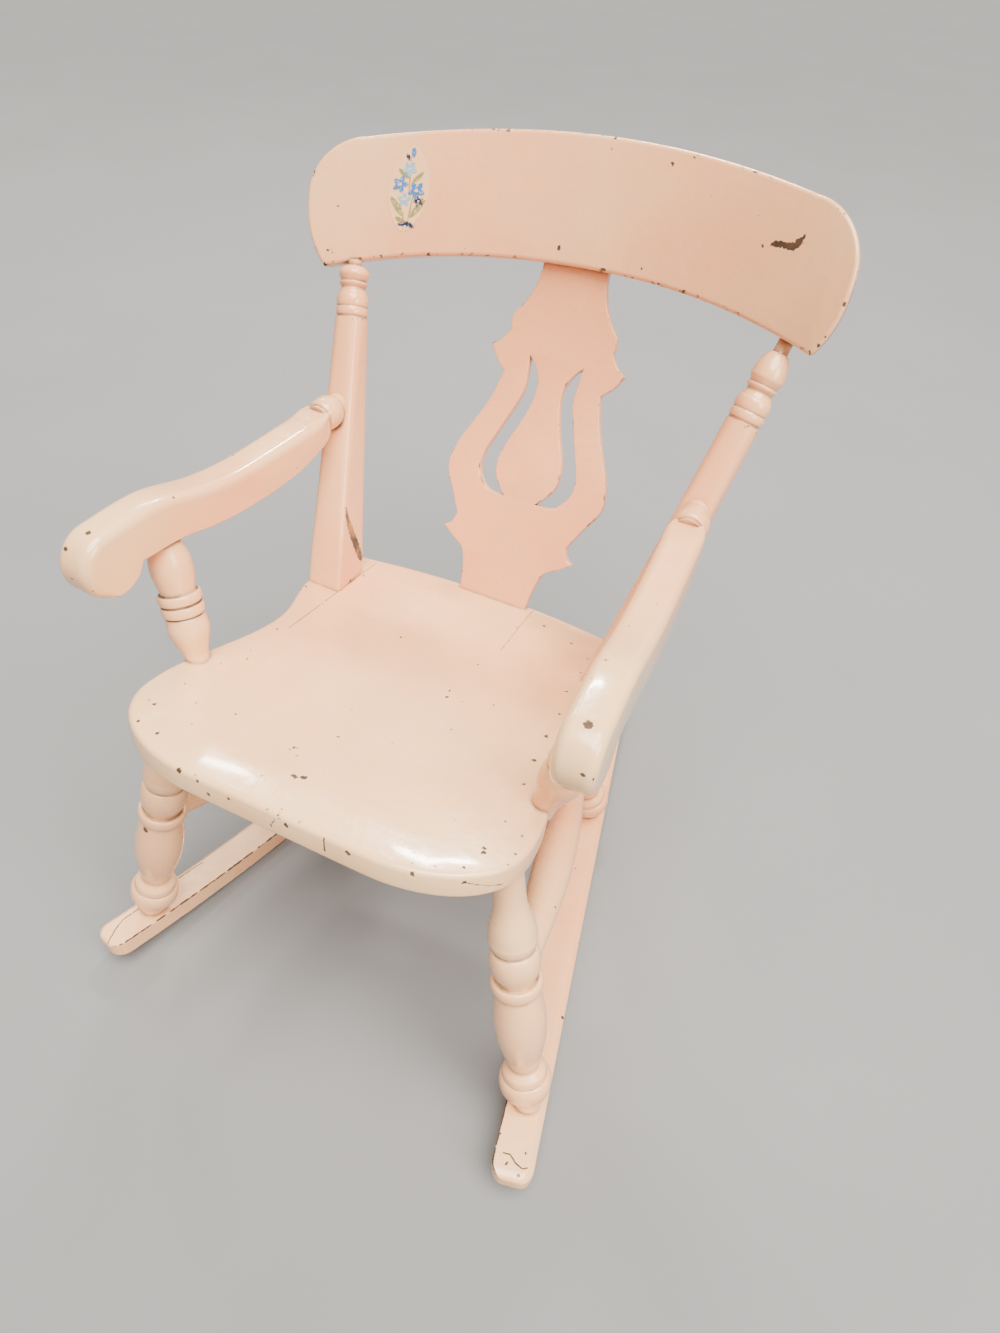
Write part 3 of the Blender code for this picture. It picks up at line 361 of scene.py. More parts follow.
ROCKER_SPLITS = [
    (0.5, (1, 1, 0), [(-230.7, -266.3, 38.4), (-232.7, -275.7, 39.8), (-234.3, -285.3, 41.3),
                      (-232.8, -295.1, 42.8), (-230.0, -305.4, 43.4), (-228.9, -312.8, 41.2)]),
    (0.4, (1, 1, 0), [(-215.3, -184.1, 28.5), (-219.7, -200.1, 30.1), (-222.8, -214.4, 31.7)]),
    (0.6, (1, 1, 0), [(222.0, -308.9, 44.7), (228.1, -307.8, 44.7), (235.7, -312.5, 45.7),
                      (243.0, -314.0, 45.9), (246.0, -311.3, 45.8)]),
]
ROCKER_CHIPS = [(228.7, -316.2, 45.8, 1.4), (241.7, -320.5, 45.5, 1.5), (216.9, -159.5, 22.3, 2.0)]
ROCKER_STEPS = 44
TOE_STEPS = 12
worn_gloss = old_gloss("worn_gloss_on_rockers", pink=0.75, gloss=0.30, worn=0.46, pits=0.5,
                       spots=ROCKER_CHIPS, splits=ROCKER_SPLITS)
for side, hand in (("left", -1.0), ("right", 1.0)):
    front_end = -ROCKER_LENGTH / 2 - hand * ROCKER_SHIFT
    back_end = ROCKER_LENGTH / 2 - hand * ROCKER_SHIFT
    toe = []
    for i in range(TOE_STEPS):
        angle = math.pi / 2 * i / TOE_STEPS
        share = ROCKER_TOE_SHARE + (1.0 - ROCKER_TOE_SHARE) * math.sin(angle)
        toe.append((ROCKER_TOE_RADIUS * (1.0 - math.cos(angle)), share))
    low, high = front_end + ROCKER_TOE_RADIUS, back_end - ROCKER_TOE_RADIUS
    rings = [rocker_ring(front_end + back, hand, share) for back, share in toe]
    for i in range(ROCKER_STEPS + 1):
        rings.append(rocker_ring(low + (high - low) * i / ROCKER_STEPS, hand, 1.0))
    rings += [rocker_ring(back_end - back, hand, share) for back, share in reversed(toe)]
    runner = loft(rings)
    mark_edges(runner)
    set_in_place(f"painted_rocker_{side}", runner, worn_gloss,
                 f"rocker_{side}")


# Seat: a blank glued up from three boards, saddled and bowed at the front, in thick gloss that
# hides its joints but for a few dark dashes. Knocks along the front show brown wood.
SEAT_FRONT_Y = -0.282
SEAT_FRONT_HEIGHT = 0.368
SEAT_TILT = math.radians(9.5)
SEAT_DEPTH = 0.384
SEAT_THICKNESS = 0.024
SEAT_HALF_FRONT = 0.181
SEAT_HALF_WAIST = 0.154
SEAT_HALF_BACK = 0.173
SEAT_CORNER_DEPTH = 0.075
SEAT_CORNER_INSET = 0.102
SEAT_WAIST_AT = 0.215
SEAT_FULL_AT = 0.300
SEAT_BACK_CROWN = 0.014
SEAT_BACK_CORNER = 0.030
SEAT_DISH = 0.007
SEAT_DISH_HALF_WIDTH = 0.129
SEAT_DISH_MARGIN = 0.040
SEAT_ARRIS = 0.004
SEAT_SEAMS = (-0.1345, 0.0460)
SEAT_FRONT_POWER = 2.3
SEAT_DISH_POWERS = (0.8, 0.7)
SEAT_FRONT_STEPS = 20
SEAT_SIDE_SPACING = 0.008
SEAT_CORNER_STEPS = 12
SEAT_BACK_STEPS = 16
# How finely a board is sliced before it is bent, and how near a cut has to pass to use a point
BOARD_GRID = 0.006
SLICE_SNAP = 0.00005
SAW_SNAP = 0.000005
SEAT_CHIPS = [
    (-141.7, -86.8, 334.7, 1.0), (-136, -92.2, 335.2, 0.8), (-139.6, -127.1, 341, 1.0),
    (-148.1, -158.9, 346.6, 1.2), (-152.5, -198.6, 353.6, 1.0), (-128.2, -213.3, 355.6, 0.9),
    (-112.6, -235.9, 360, 0.8), (-161.5, -231.3, 359.3, 1.0), (-153.9, -233.6, 359.6, 1.9),
    (-149.1, -256.2, 363.7, 1.4), (-126.7, -259.9, 364.3, 1.8), (-9.6, -182, 346.4, 1.3),
    (31.2, -163.2, 342.7, 0.7), (-21.3, -143.8, 338.6, 0.6), (-28.6, -255.6, 363.6, 0.7),
    (-8.5, -242.7, 361, 2.2), (-6.5, -243.5, 361, 1.8), (-2.2, -240.4, 360.4, 2.2),
    (-0.5, -239.4, 360.1, 1.9), (-134.2, -16.7, 322.5, 0.9), (-134.2, -24, 323.7, 0.7),
    (-134.1, -36, 325.7, 0.7), (-134.1, -41.7, 326.6, 0.9), (-133.8, -52, 328.4, 0.7),
    (-133.5, -66.8, 330.9, 0.9), (44.9, 53, 311.2, 0.8), (46, 40, 312, 0.7),
    (47.5, 28, 313.5, 0.8), (48.2, 16.2, 314.8, 0.7), (-165.2, -7.8, 322.1, 1.1),
    (-166.3, -15.3, 322.2, 1.0), (-130.7, 46, 312.8, 1.1), (-85.8, -281.8, 364.3, 2.4),
    (-68.5, -282.8, 363.3, 1.3), (-58.1, -284.2, 354.9, 1.4), (-38.6, -283.3, 360.3, 1.3),
    (4.7, -275.7, 366.9, 1.2), (13.4, -283.3, 360.2, 2.0), (22.8, -279.8, 366.9, 1.5),
    (66.5, -283.1, 361.2, 2.0), (45.8, -280.8, 366.7, 1.0), (46.4, -283, 361, 0.6),
    (47, -284.6, 352.5, 0.9), (5.1, -279.6, 367, 0.8), (2.4, -283, 360, 0.6),
    (-0.5, -284.4, 353.4, 0.9), (112.7, -270.9, 366.1, 0.8), (116.5, -277.6, 362.7, 1.8),
    (150.6, -263.6, 358.4, 1.4), (125.9, 42, 313.1, 1.0), (128.1, 16.4, 317.1, 1.2),
    (129, -18.5, 322.6, 1.4), (136.1, -53.7, 328.9, 1.3), (138.2, -88.7, 334.8, 1.8),
    (141.9, -122.6, 340.4, 1.9), (146.8, -154, 345.7, 1.4), (152, -199, 353.7, 1.2),
    (169.1, -206.3, 355.2, 1.0), (36.1, -72.3, 326.5, 1.2), (38.1, -82.3, 328.1, 1.4),
    (53.1, -80.7, 328.3, 0.8), (64, -120.9, 335.7, 1.0), (152.5, -236, 360, 1.9),
    (150.5, -232, 360, 1.6), (172, -237.3, 359.6, 1.2), (128.8, -265.4, 365.2, 1.1),
    (109.6, -262.2, 364.7, 0.9), (67.6, 70.4, 309, 1.3), (102, 57.6, 311, 1.2),
    (-30, -213.6, 353.6, 1.1), (-27.5, -212.5, 353.4, 0.9), (-31.1, -216.8, 354.5, 0.8),
    (-21.7, -221.1, 355.5, 0.9), (-43.3, -24.9, 319.8, 1.2),
]
SEAT_ROLL_REACH = 0.036
SEAT_ROLL_DROP = 0.0018
SEAT_SPLITS = [
    (0.25, (1, 1, 0), [(-134.5, 100, 310), (-134.3, -78, 332)]),
    (0.15, (1, 1, 0), [(46, 100, 311), (47.6, 10, 315)]),
    (0.6, (1, 1, 1), [(45.8, -282.2, 364.7), (47, -284.6, 352.5)]),
    (0.6, (1, 1, 1), [(5.1, -281, 365), (-0.5, -284.4, 353.4)]),
    (0.7, (1, 1, 1), [(150.6, -263.6, 358.4), (157.8, -258.7, 354.4), (164.6, -252.6, 349.8),
                      (171, -245.7, 345.7), (175.8, -234.5, 341)]),
]


def seat_normal():
    return Vector((0.0, math.sin(SEAT_TILT), math.cos(SEAT_TILT)))


# A point of the seat's flat top plane over plan position x, y, lowered square to the plane
def seat_point(x, y, depth=0.0):
    z = SEAT_FRONT_HEIGHT - (y - SEAT_FRONT_Y) * math.tan(SEAT_TILT)
    return Vector((x, y, z)) - seat_normal() * depth


def seat_dish(x, v):
    across = max(0.0, 1.0 - (x / SEAT_DISH_HALF_WIDTH) ** 2)
    reach = (v - SEAT_DISH_MARGIN) / (SEAT_DEPTH - 2.0 * SEAT_DISH_MARGIN)
    along = max(0.0, math.sin(math.pi * min(max(reach, 0.0), 1.0)))
    return SEAT_DISH * across ** SEAT_DISH_POWERS[0] * along ** SEAT_DISH_POWERS[1]


def s_curve(a, b, t):
    return a + (b - a) * (1.0 - math.cos(math.pi * t)) / 2.0


def seat_half(v):
    if v < SEAT_CORNER_DEPTH:
        lead = (SEAT_CORNER_DEPTH - v) / SEAT_CORNER_DEPTH
        drop = 1.0 - math.sqrt(max(1.0 - lead ** SEAT_FRONT_POWER, 0.0))
        return SEAT_HALF_FRONT - SEAT_CORNER_INSET * drop
    if v < SEAT_WAIST_AT:
        t = (v - SEAT_CORNER_DEPTH) / (SEAT_WAIST_AT - SEAT_CORNER_DEPTH)
        return s_curve(SEAT_HALF_FRONT, SEAT_HALF_WAIST, t)
    if v < SEAT_FULL_AT:
        t = (v - SEAT_WAIST_AT) / (SEAT_FULL_AT - SEAT_WAIST_AT)
        return s_curve(SEAT_HALF_WAIST, SEAT_HALF_BACK, t)
    return SEAT_HALF_BACK


# The seat's outline, from the right of its front edge round the back to the left
def seat_outline():
    rows = [SEAT_CORNER_DEPTH * (1.0 - math.cos(math.pi / 2 * i / SEAT_FRONT_STEPS))
            for i in range(SEAT_FRONT_STEPS)]
    rows += list(np.arange(SEAT_CORNER_DEPTH, SEAT_FULL_AT, SEAT_SIDE_SPACING))
    right = [(seat_half(v), v) for v in rows]
    centre_x = SEAT_HALF_BACK - SEAT_BACK_CORNER
    centre_v = SEAT_DEPTH - SEAT_BACK_CROWN - SEAT_BACK_CORNER
    for i in range(SEAT_CORNER_STEPS + 1):
        angle = math.pi / 2 * i / SEAT_CORNER_STEPS
        right.append((centre_x + SEAT_BACK_CORNER * math.cos(angle),
                      centre_v + SEAT_BACK_CORNER * math.sin(angle)))
    for i in range(1, SEAT_BACK_STEPS + 1):
        x = centre_x * (1.0 - i / SEAT_BACK_STEPS)
        right.append((x, SEAT_DEPTH - SEAT_BACK_CROWN * (x / centre_x) ** 2))
    left = [(-x, v) for x, v in reversed(right) if x > 1e-6]
    return right + left


def slice_across(bm, axis, low, high, spacing):
    normal = Vector((0, 0, 0))
    normal[axis] = 1.0
    count = max(round((high - low) / spacing), 1)
    for i in range(1, count):
        place = Vector((0, 0, 0))
        place[axis] = low + (high - low) * i / count
        bmesh.ops.bisect_plane(bm, geom=bm.verts[:] + bm.edges[:] + bm.faces[:],
                               plane_co=place, plane_no=normal, dist=SLICE_SNAP)


# Draws flat faces out into a board along an axis, and rounds over its sawn edges on both sides
def thicken(bm, axis, thickness, arris, segments=5):
    grown = bmesh.ops.extrude_face_region(bm, geom=bm.faces[:])
    moved = [g for g in grown["geom"] if isinstance(g, bmesh.types.BMVert)]
    shift = Vector((0, 0, 0))
    shift[axis] = thickness
    bmesh.ops.translate(bm, vec=shift, verts=moved)
    bmesh.ops.recalc_face_normals(bm, faces=bm.faces)
    rim = [e for e in bm.edges
           if abs(e.verts[0].co[axis] - e.verts[1].co[axis]) < 1e-6 and e.calc_face_angle(0.0) > 1.0]
    bmesh.ops.bevel(bm, geom=rim, offset=arris, affect="EDGES", segments=segments, profile=0.5,
                    material=-1)


def seat_blank():
    bm = bmesh.new()
    bm.faces.new([bm.verts.new((x, v, 0.0)) for x, v in seat_outline()])
    thicken(bm, 2, -SEAT_THICKNESS, SEAT_ARRIS)
    slice_across(bm, 0, -SEAT_DISH_HALF_WIDTH, SEAT_DISH_HALF_WIDTH, BOARD_GRID)
    slice_across(bm, 1, 0.0, SEAT_DEPTH, BOARD_GRID)
    mark_edges(bm)
    for vert in bm.verts:
        if vert.co.z > -SEAT_THICKNESS / 2:
            forward = max(1.0 - vert.co.y / SEAT_ROLL_REACH, 0.0)
            vert.co.z -= seat_dish(vert.co.x, vert.co.y) + SEAT_ROLL_DROP * forward ** 2
    return bm


def saw(bm, x, keep_right):
    side = -1.0 if keep_right else 1.0
    bmesh.ops.bisect_plane(bm, geom=bm.verts[:] + bm.edges[:] + bm.faces[:], plane_co=(x, 0, 0),
                           plane_no=(side, 0, 0), dist=SAW_SNAP, clear_outer=True)
    bmesh.ops.contextual_create(bm, geom=[e for e in bm.edges if e.is_boundary])


tilt = Matrix.Translation((0.0, SEAT_FRONT_Y, SEAT_FRONT_HEIGHT)) @ Matrix.Rotation(
    -SEAT_TILT, 4, "X")
seat_gloss = old_gloss("cream_gloss_on_seat", pink=0.60, gloss=0.18, worn=0.30, pits=0.22,
                       spots=SEAT_CHIPS, splits=SEAT_SPLITS)
whole_seat = seat_blank()
for board, low, high in (("left", None, SEAT_SEAMS[0]), ("centre", *SEAT_SEAMS),
                         ("right", SEAT_SEAMS[1], None)):
    plank = whole_seat.copy()
    if low is not None:
        saw(plank, low, keep_right=True)
    if high is not None:
        saw(plank, high, keep_right=False)
    bmesh.ops.transform(plank, matrix=tilt, verts=plank.verts)
    set_in_place(f"saddled_seat_{board}", plank, seat_gloss,
                 f"seat_board_{board}")
whole_seat.free()


# Legs: four turned balusters, socketed into the rockers and the seat's underside. Paint has
# filled their grooves softly, and they are darkened brown there, partly grime, partly painted shade.
REAR_FOOT_Y = 0.097
FRONT_LEG_TOP = (0.160, -0.2075)
REAR_LEG_TOP = (0.118, 0.028)
LEG_SOCKET_DEPTH = 0.012
LEG_FOOT_RADIUS = 0.0130
# Each stretch of a turning is its kind, its length, the radius at its end and how far it swells
LEG_TURNING = [
    ("straight", 0.0160, 0.0135, 0), ("bead", 0.0285, 0.0195, 0.0075),
    ("straight", 0, 0.0208, 0), ("straight", 0.0050, 0.0200, 0),
    ("curve", 0.0095, 0.0138, 0), ("barrel", 0.1000, 0.0190, 0.0068),
    ("straight", 0, 0.0205, 0), ("bead", 0.0120, 0.0205, 0.0022),
    ("straight", 0, 0.0172, 0), ("straight", 0.0060, 0.0172, 0),
    ("bead", 0.0300, 0.0175, 0.0045), ("straight", 0.0030, 0.0175, 0),
    ("bead", 0.0110, 0.0205, 0.0015), ("curve", 0.0420, 0.0135, 0),
    ("straight", 0.0436, 0.0128, 0),
]
LEG_CHIPS = [(-192.6, -253.1, 186.5, 3.0)]


# straight: a cone. bead: a half round that stands proud. curve: an S from one radius to the
# next. barrel: an arc that swells between its ends.
def stretch(kind, start, length, r0, r1, swell, steps=14):
    points = []
    for i in range(1, steps + 1):
        t = i / steps
        place, radius = t, r0 + (r1 - r0) * t
        if kind == "curve":
            radius = s_curve(r0, r1, t)
        elif kind == "bead":
            place = s_curve(0.0, 1.0, t)
            radius += swell * math.sin(math.pi * t)
        elif kind == "barrel":
            radius += swell * math.sin(math.pi * t)
        points.append((start + length * place, radius))
    return points


def profile(first_radius, stretches, start=0.0):
    points = [(start, first_radius)]
    for kind, length, radius, swell in stretches:
        z, r = points[-1]
        points += [(z, radius)] if length == 0.0 else stretch(kind, z, length, r, radius, swell)
    return points


# Thick paint rounds a turning's edges a little. Where it lies hollow, it is darkened, partly grime
# and partly painted shade.
PAINT_SOFTENS = 0.0010
GRIME_SHADE_REACH = 0.0060
GRIME_SHADE_DEPTH = 0.0005
GRIME_SHADE_LEAST = 0.25
# A turning is worked out this finely, then kept where it bends by so much or runs on so far
LATHE_SPACING = 0.0004
LATHE_BEND = 0.05
LATHE_RUN = 0.004
TURNED_WEAR = (16.0, 30.0)


def painted_profile(points):
    z, r = np.array(points).T
    run = np.concatenate([[0.0], np.cumsum(np.hypot(np.diff(z), np.diff(r)))])
    even = np.linspace(0.0, run[-1], int(run[-1] / LATHE_SPACING) + 1)

    def averaged(values, reach):
        beside = max(int(reach / LATHE_SPACING / 2), 1)
        kernel = np.ones(2 * beside + 1) / (2 * beside + 1)
        return np.convolve(np.pad(values, beside, mode="edge"), kernel, "valid")

    z = averaged(np.interp(even, run, z), PAINT_SOFTENS)
    r = averaged(np.interp(even, run, r), PAINT_SOFTENS)
    hollow = np.clip((averaged(r, GRIME_SHADE_REACH) - r) / GRIME_SHADE_DEPTH - GRIME_SHADE_LEAST, 0.0, 1.0)
    keep = [0]
    for i in range(1, len(z) - 1):
        last = keep[-1]
        heading = math.atan2(r[i] - r[last], z[i] - z[last])
        ahead = math.atan2(r[i + 1] - r[i], z[i + 1] - z[i])
        run_on = math.hypot(z[i] - z[last], r[i] - r[last])
        if abs(ahead - heading) > LATHE_BEND or run_on > LATHE_RUN:
            keep.append(i)
    keep.append(len(z) - 1)
    return z[keep], r[keep], hollow[keep]


# Marks a turning's hollows for darkening: partly grime, partly painted shade
def grime_and_shade_in_grooves(bm, z, hollow):
    layer = bm.verts.layers.float.new("groove_grime_and_shade")
    for vert in bm.verts:
        vert[layer] = float(np.interp(vert.co.z, z, hollow))


def axis_frame(start, end):
    start = Vector(start)
    along = (Vector(end) - start).normalized()
    side = Vector((1.0, 0.0, 0.0)) if abs(along.x) < 0.9 else Vector((0.0, 1.0, 0.0))
    across = (side - along * side.dot(along)).normalized()
    third = along.cross(across)
    return Matrix.Translation(start) @ Matrix((across, third, along)).transposed().to_4x4()


def turn(points, axes, sides=48):
    z, r, hollow = painted_profile(points)
    bm = bmesh.new()
    path = [(z[0], 0.0)] + list(zip(z, r)) + [(z[-1], 0.0)]
    verts = [bm.verts.new((radius, 0.0, place)) for place, radius in path]
    edges = [bm.edges.new(pair) for pair in zip(verts, verts[1:])]
    bmesh.ops.spin(bm, geom=verts + edges, cent=(0, 0, 0), axis=(0, 0, 1), angle=2.0 * math.pi,
                   steps=sides, use_merge=True)
    bmesh.ops.remove_doubles(bm, verts=bm.verts, dist=WELD)
    bmesh.ops.recalc_face_normals(bm, faces=bm.faces)
    grime_and_shade_in_grooves(bm, z, hollow)
    bmesh.ops.transform(bm, matrix=axes, verts=bm.verts)
    mark_edges(bm, *TURNED_WEAR)
    return bm


# A turning fitted between two places: its stretches share out the distance, and it runs on past
# both of them into its sockets
def fit_turning(foot, crown, stretches, foot_radius, socket):
    length = (crown - foot).length
    drawn = sum(step[1] for step in stretches)
    fitted = [("straight", socket, foot_radius, 0)]
    fitted += [(kind, run * length / drawn, radius, swell) for kind, run, radius, swell in stretches]
    points = profile(foot_radius, fitted, -socket)
    points.append((length + socket, points[-1][1]))
    return axis_frame(foot, crown), points


leg_gloss = old_gloss("cream_gloss_on_legs", pink=0.75, gloss=0.26, worn=0.35, pits=0.35,
                      spots=LEG_CHIPS)
legs = {}
for place, top in (("front", FRONT_LEG_TOP), ("rear", REAR_LEG_TOP)):
    for side, hand in (("left", -1.0), ("right", 1.0)):
        foot_y = FRONT_FOOT[1] if place == "front" else REAR_FOOT_Y
        foot = Vector((hand * rocker_x(foot_y), foot_y, rocker_top(foot_y)))
        crown = seat_point(hand * top[0], top[1], SEAT_THICKNESS)
        axes, points = fit_turning(foot, crown, LEG_TURNING, LEG_FOOT_RADIUS, LEG_SOCKET_DEPTH)
        legs[(place, side)] = (axes, points)
        set_in_place(f"turned_{place}_leg_{side}", turn(points, axes), leg_gloss,
                     f"{place}_leg_{side}")


# Stretchers: plain swelling bars, one between the legs of each side and one across between
# them. Their ends are glued into holes.
STRETCHER_FRONT_AT = 0.150
STRETCHER_REAR_AT = 0.125
STRETCHER_END_RADIUS = 0.0085
STRETCHER_BARREL_RADIUS = 0.0195
CROSS_END_RADIUS = 0.0075
CROSS_BARREL_RADIUS = 0.0150
STRETCHER_TENON = 0.010
STRETCHER_NECK = 0.004
CROSS_AT = 0.58


def reading(points, place):
    z, r = zip(*points)
    return float(np.interp(place, z, r))


def add_stretcher(name, ends, end_radius, barrel_radius):
    (first_radius, start), (last_radius, end) = ends
    along = (end - start).normalized()
    start = start + along * (first_radius - STRETCHER_TENON)
    end = end - along * (last_radius - STRETCHER_TENON)
    axes = axis_frame(start, end)
    length = (end - start).length
    plain = STRETCHER_TENON + STRETCHER_NECK
    points = profile(end_radius, [
        ("straight", plain, end_radius, 0),
        ("barrel", length - 2.0 * plain, end_radius, barrel_radius - end_radius),
        ("straight", plain, end_radius, 0)])
    set_in_place(f"turned_{name}", turn(points, axes, 40), leg_gloss, name)
    return axes, points, length


crossing = []
for side in ("left", "right"):
    ends = []
    for place, at in (("front", STRETCHER_FRONT_AT), ("rear", STRETCHER_REAR_AT)):
        axes, points = legs[(place, side)]
        ends.append((reading(points, at), axes @ Vector((0, 0, at))))
    axes, points, length = add_stretcher(f"side_stretcher_{side}", ends, STRETCHER_END_RADIUS,
                                         STRETCHER_BARREL_RADIUS)
    at = length * CROSS_AT
    crossing.append((reading(points, at), axes @ Vector((0, 0, at))))
add_stretcher("cross_stretcher", crossing, CROSS_END_RADIUS, CROSS_BARREL_RADIUS)


# Splat: a thin board fret-sawn to a lyre with two curved slots, steamed to a slight hollow and
# let into the seat and the crest rail. Its sawn edges are eased under the paint.
SPLAT_FOOT_Y = 0.0856
SPLAT_LENGTH = 0.326
SPLAT_HALF_WIDTH = 0.0853
SPLAT_HALF_FOOT = 0.0380
SPLAT_HALF_TOP = 0.0325
SPLAT_RAKE = math.radians(26.9)
SPLAT_THICKNESS = 0.009
SPLAT_HOLLOW = 0.014
SPLAT_HOLLOW_POWER = 1.6
SPLAT_TONGUE = 0.010
SPLAT_TOP_TONGUE = 0.018
SPLAT_EASE = 0.0010
SPLAT_STEPS = 6
# The sawing pattern, in millimetres from the centre line and up from the seat
SPLAT_DRAWN = (85.3, 326.0)
SPLAT_SIDE = [
    [(38.5, 12.0), (45.4, 39.2), (60.0, 50.0), (72.4, 58.8)],
    [(72.4, 58.8), (65.5, 64.0), (62.0, 73.8)],
    [(62.0, 73.8), (72.0, 93.0), (85.3, 118.0), (82.0, 143.0), (70.0, 170.0), (59.0, 195.0),
     (51.9, 222.7)],
    [(51.9, 222.7), (62.0, 232.0), (70.5, 245.5)],
    [(70.5, 245.5), (61.0, 252.0), (53.5, 262.4)],
    [(53.5, 262.4), (54.5, 269.0), (54.3, 276.7)],
    [(54.3, 276.7), (44.0, 290.0), (36.5, 304.0)],
]
SLOT_OUTER = [(17.4, 105.3), (37.0, 107.5), (50.0, 122.0), (51.0, 140.0), (43.5, 162.0),
              (33.5, 188.0), (27.0, 208.0), (27.0, 224.0), (28.5, 243.0)]
SLOT_INNER = [(28.5, 243.0), (19.0, 232.5), (13.5, 217.0), (15.5, 198.0), (22.0, 177.0),
              (30.5, 155.0), (34.2, 138.0), (31.0, 121.5), (17.4, 105.3)]


# An even curve through named points, for sawn outlines
def smooth(points, steps):
    vectors = [Vector(p) for p in points]
    path = [vectors[0]]
    for i in range(len(vectors) - 1):
        a = vectors[max(i - 1, 0)]
        b, c = vectors[i], vectors[i + 1]
        d = vectors[min(i + 2, len(vectors) - 1)]
        for k in range(1, steps + 1):
            t = k / steps
            path.append(0.5 * (2 * b + (c - a) * t + (2 * a - 5 * b + 4 * c - d) * t ** 2
                               + (3 * b - a - 3 * c + d) * t ** 3))
    return [(p.x, p.y) for p in path]


def splat_mark(point):
    x, s = point
    return (x / SPLAT_DRAWN[0] * SPLAT_HALF_WIDTH, s / SPLAT_DRAWN[1] * SPLAT_LENGTH)


def splat_half_outline():
    side = [(SPLAT_HALF_FOOT, -SPLAT_TONGUE), (SPLAT_HALF_FOOT, SPLAT_TONGUE / 2)]
    for marks in SPLAT_SIDE:
        side += smooth([splat_mark(mark) for mark in marks], SPLAT_STEPS)
        side.pop()
    side.append(splat_mark(SPLAT_SIDE[-1][-1]))
    side.append((SPLAT_HALF_TOP, SPLAT_LENGTH - SPLAT_TONGUE / 2))
    side.append((SPLAT_HALF_TOP, SPLAT_LENGTH + SPLAT_TOP_TONGUE))
    return side


def splat_point(x, s, d):
    u = s / SPLAT_LENGTH
    if u <= 0.0:
        hollow = 0.0
    elif u <= 1.0:
        hollow = SPLAT_HOLLOW * math.sin(math.pi * u ** SPLAT_HOLLOW_POWER)
    else:
        hollow = -SPLAT_HOLLOW * SPLAT_HOLLOW_POWER * math.pi * (u - 1.0)
    foot = seat_point(0.0, SPLAT_FOOT_Y)
    along = Vector((0.0, math.sin(SPLAT_RAKE), math.cos(SPLAT_RAKE)))
    back = Vector((0.0, math.cos(SPLAT_RAKE), -math.sin(SPLAT_RAKE)))
    place = foot + along * s + back * (hollow + d)
    return Vector((x, place.y, place.z))


def add_loop(bm, points):
    verts = [bm.verts.new((x, 0.0, s)) for x, s in points]
    return [bm.edges.new((a, b)) for a, b in zip(verts, verts[1:] + verts[:1])]


half_outline = splat_half_outline()
slot = smooth([splat_mark(m) for m in SLOT_OUTER], SPLAT_STEPS)[:-1]
slot += smooth([splat_mark(m) for m in SLOT_INNER], SPLAT_STEPS)[:-1]
board = bmesh.new()
rim = add_loop(board, half_outline + [(-x, s) for x, s in reversed(half_outline)])
rim += add_loop(board, slot) + add_loop(board, [(-x, s) for x, s in reversed(slot)])
bmesh.ops.triangle_fill(board, edges=rim, use_beauty=True)
thicken(board, 1, SPLAT_THICKNESS, SPLAT_EASE, 4)
slice_across(board, 2, -SPLAT_TONGUE, SPLAT_LENGTH + SPLAT_TOP_TONGUE, BOARD_GRID)
mark_edges(board)
for vert in board.verts:
    vert.co = splat_point(vert.co.x, vert.co.z, vert.co.y)
splat_gloss = old_gloss("pink_gloss_on_splat", pink=0.95, gloss=0.26, worn=0.30, pits=0.12)
set_in_place("lyre_splat", board, splat_gloss, "splat")


# Crest rail: a thick board sawn with an arched top and round corners, bowed and leaning back.
# It sits slightly askew. A long chip near its right end and rubbed edges show the wood.
RAIL_CENTRE_Y = 0.2245
RAIL_CENTRE_HEIGHT = 0.6035
RAIL_RAKE = math.radians(21.7)
RAIL_ROLL = math.radians(3.1)
RAIL_HALF_WIDTH = 0.2534
RAIL_HALF_FOOT = 0.2352
RAIL_CORNER = 0.046
RAIL_CORNER_HEIGHT = 0.046
RAIL_HEIGHT = 0.1087
RAIL_SHOULDER_HEIGHT = 0.096
RAIL_END_DROP = 0.0164
RAIL_BOW_RADIUS = 0.476
RAIL_THICKNESS = 0.020
RAIL_ARRIS = 0.004
RAIL_END_POWER = 2.5
RAIL_STEPS = 24
RAIL_CORNER_STEPS = 14
RAIL_END_STEPS = 12
RAIL_CHIPS = [
    (176.6, 210, 662, 1.6), (180, 209.4, 663, 2.5), (183.8, 208.2, 664, 3.0),
    (187.4, 207, 664, 2.7), (191, 205.6, 664.4, 2.7), (194.6, 204.4, 665.6, 3.2),
    (197.2, 203.8, 668, 3.4), (199.3, 203.8, 671, 2.6), (200.8, 204, 674, 1.5),
    (168.8, 211.6, 658.4, 1.5), (70.6, 253.2, 694.7, 1.5),
    (-16.4, 229.2, 615.5, 1.8), (-230.9, 167.2, 588.5, 1.0), (-228.5, 168, 590, 0.8),
    (-226.5, 168.6, 587.6, 0.8), (248.8, 169.9, 642.6, 1.6), (239.4, 162.9, 610.1, 1.4),
    (12, 260.5, 695.8, 0.7), (88.7, 252.6, 702.8, 1.0), (250.5, 181, 664, 1.5),
    (116, 204, 596, 1.6), (252, 176, 655, 1.1),
]


# A place on the rail: x across, t up its face, d behind its front face
def rail_point(x, t, d=0.0, roll=RAIL_ROLL):
    back = t * math.sin(RAIL_RAKE) + d * math.cos(RAIL_RAKE) - x * x / (2.0 * RAIL_BOW_RADIUS)
    up = t * math.cos(RAIL_RAKE) - d * math.sin(RAIL_RAKE)
    return Vector((x * math.cos(roll) - up * math.sin(roll), RAIL_CENTRE_Y + back,
                   RAIL_CENTRE_HEIGHT + x * math.sin(roll) + up * math.cos(roll)))


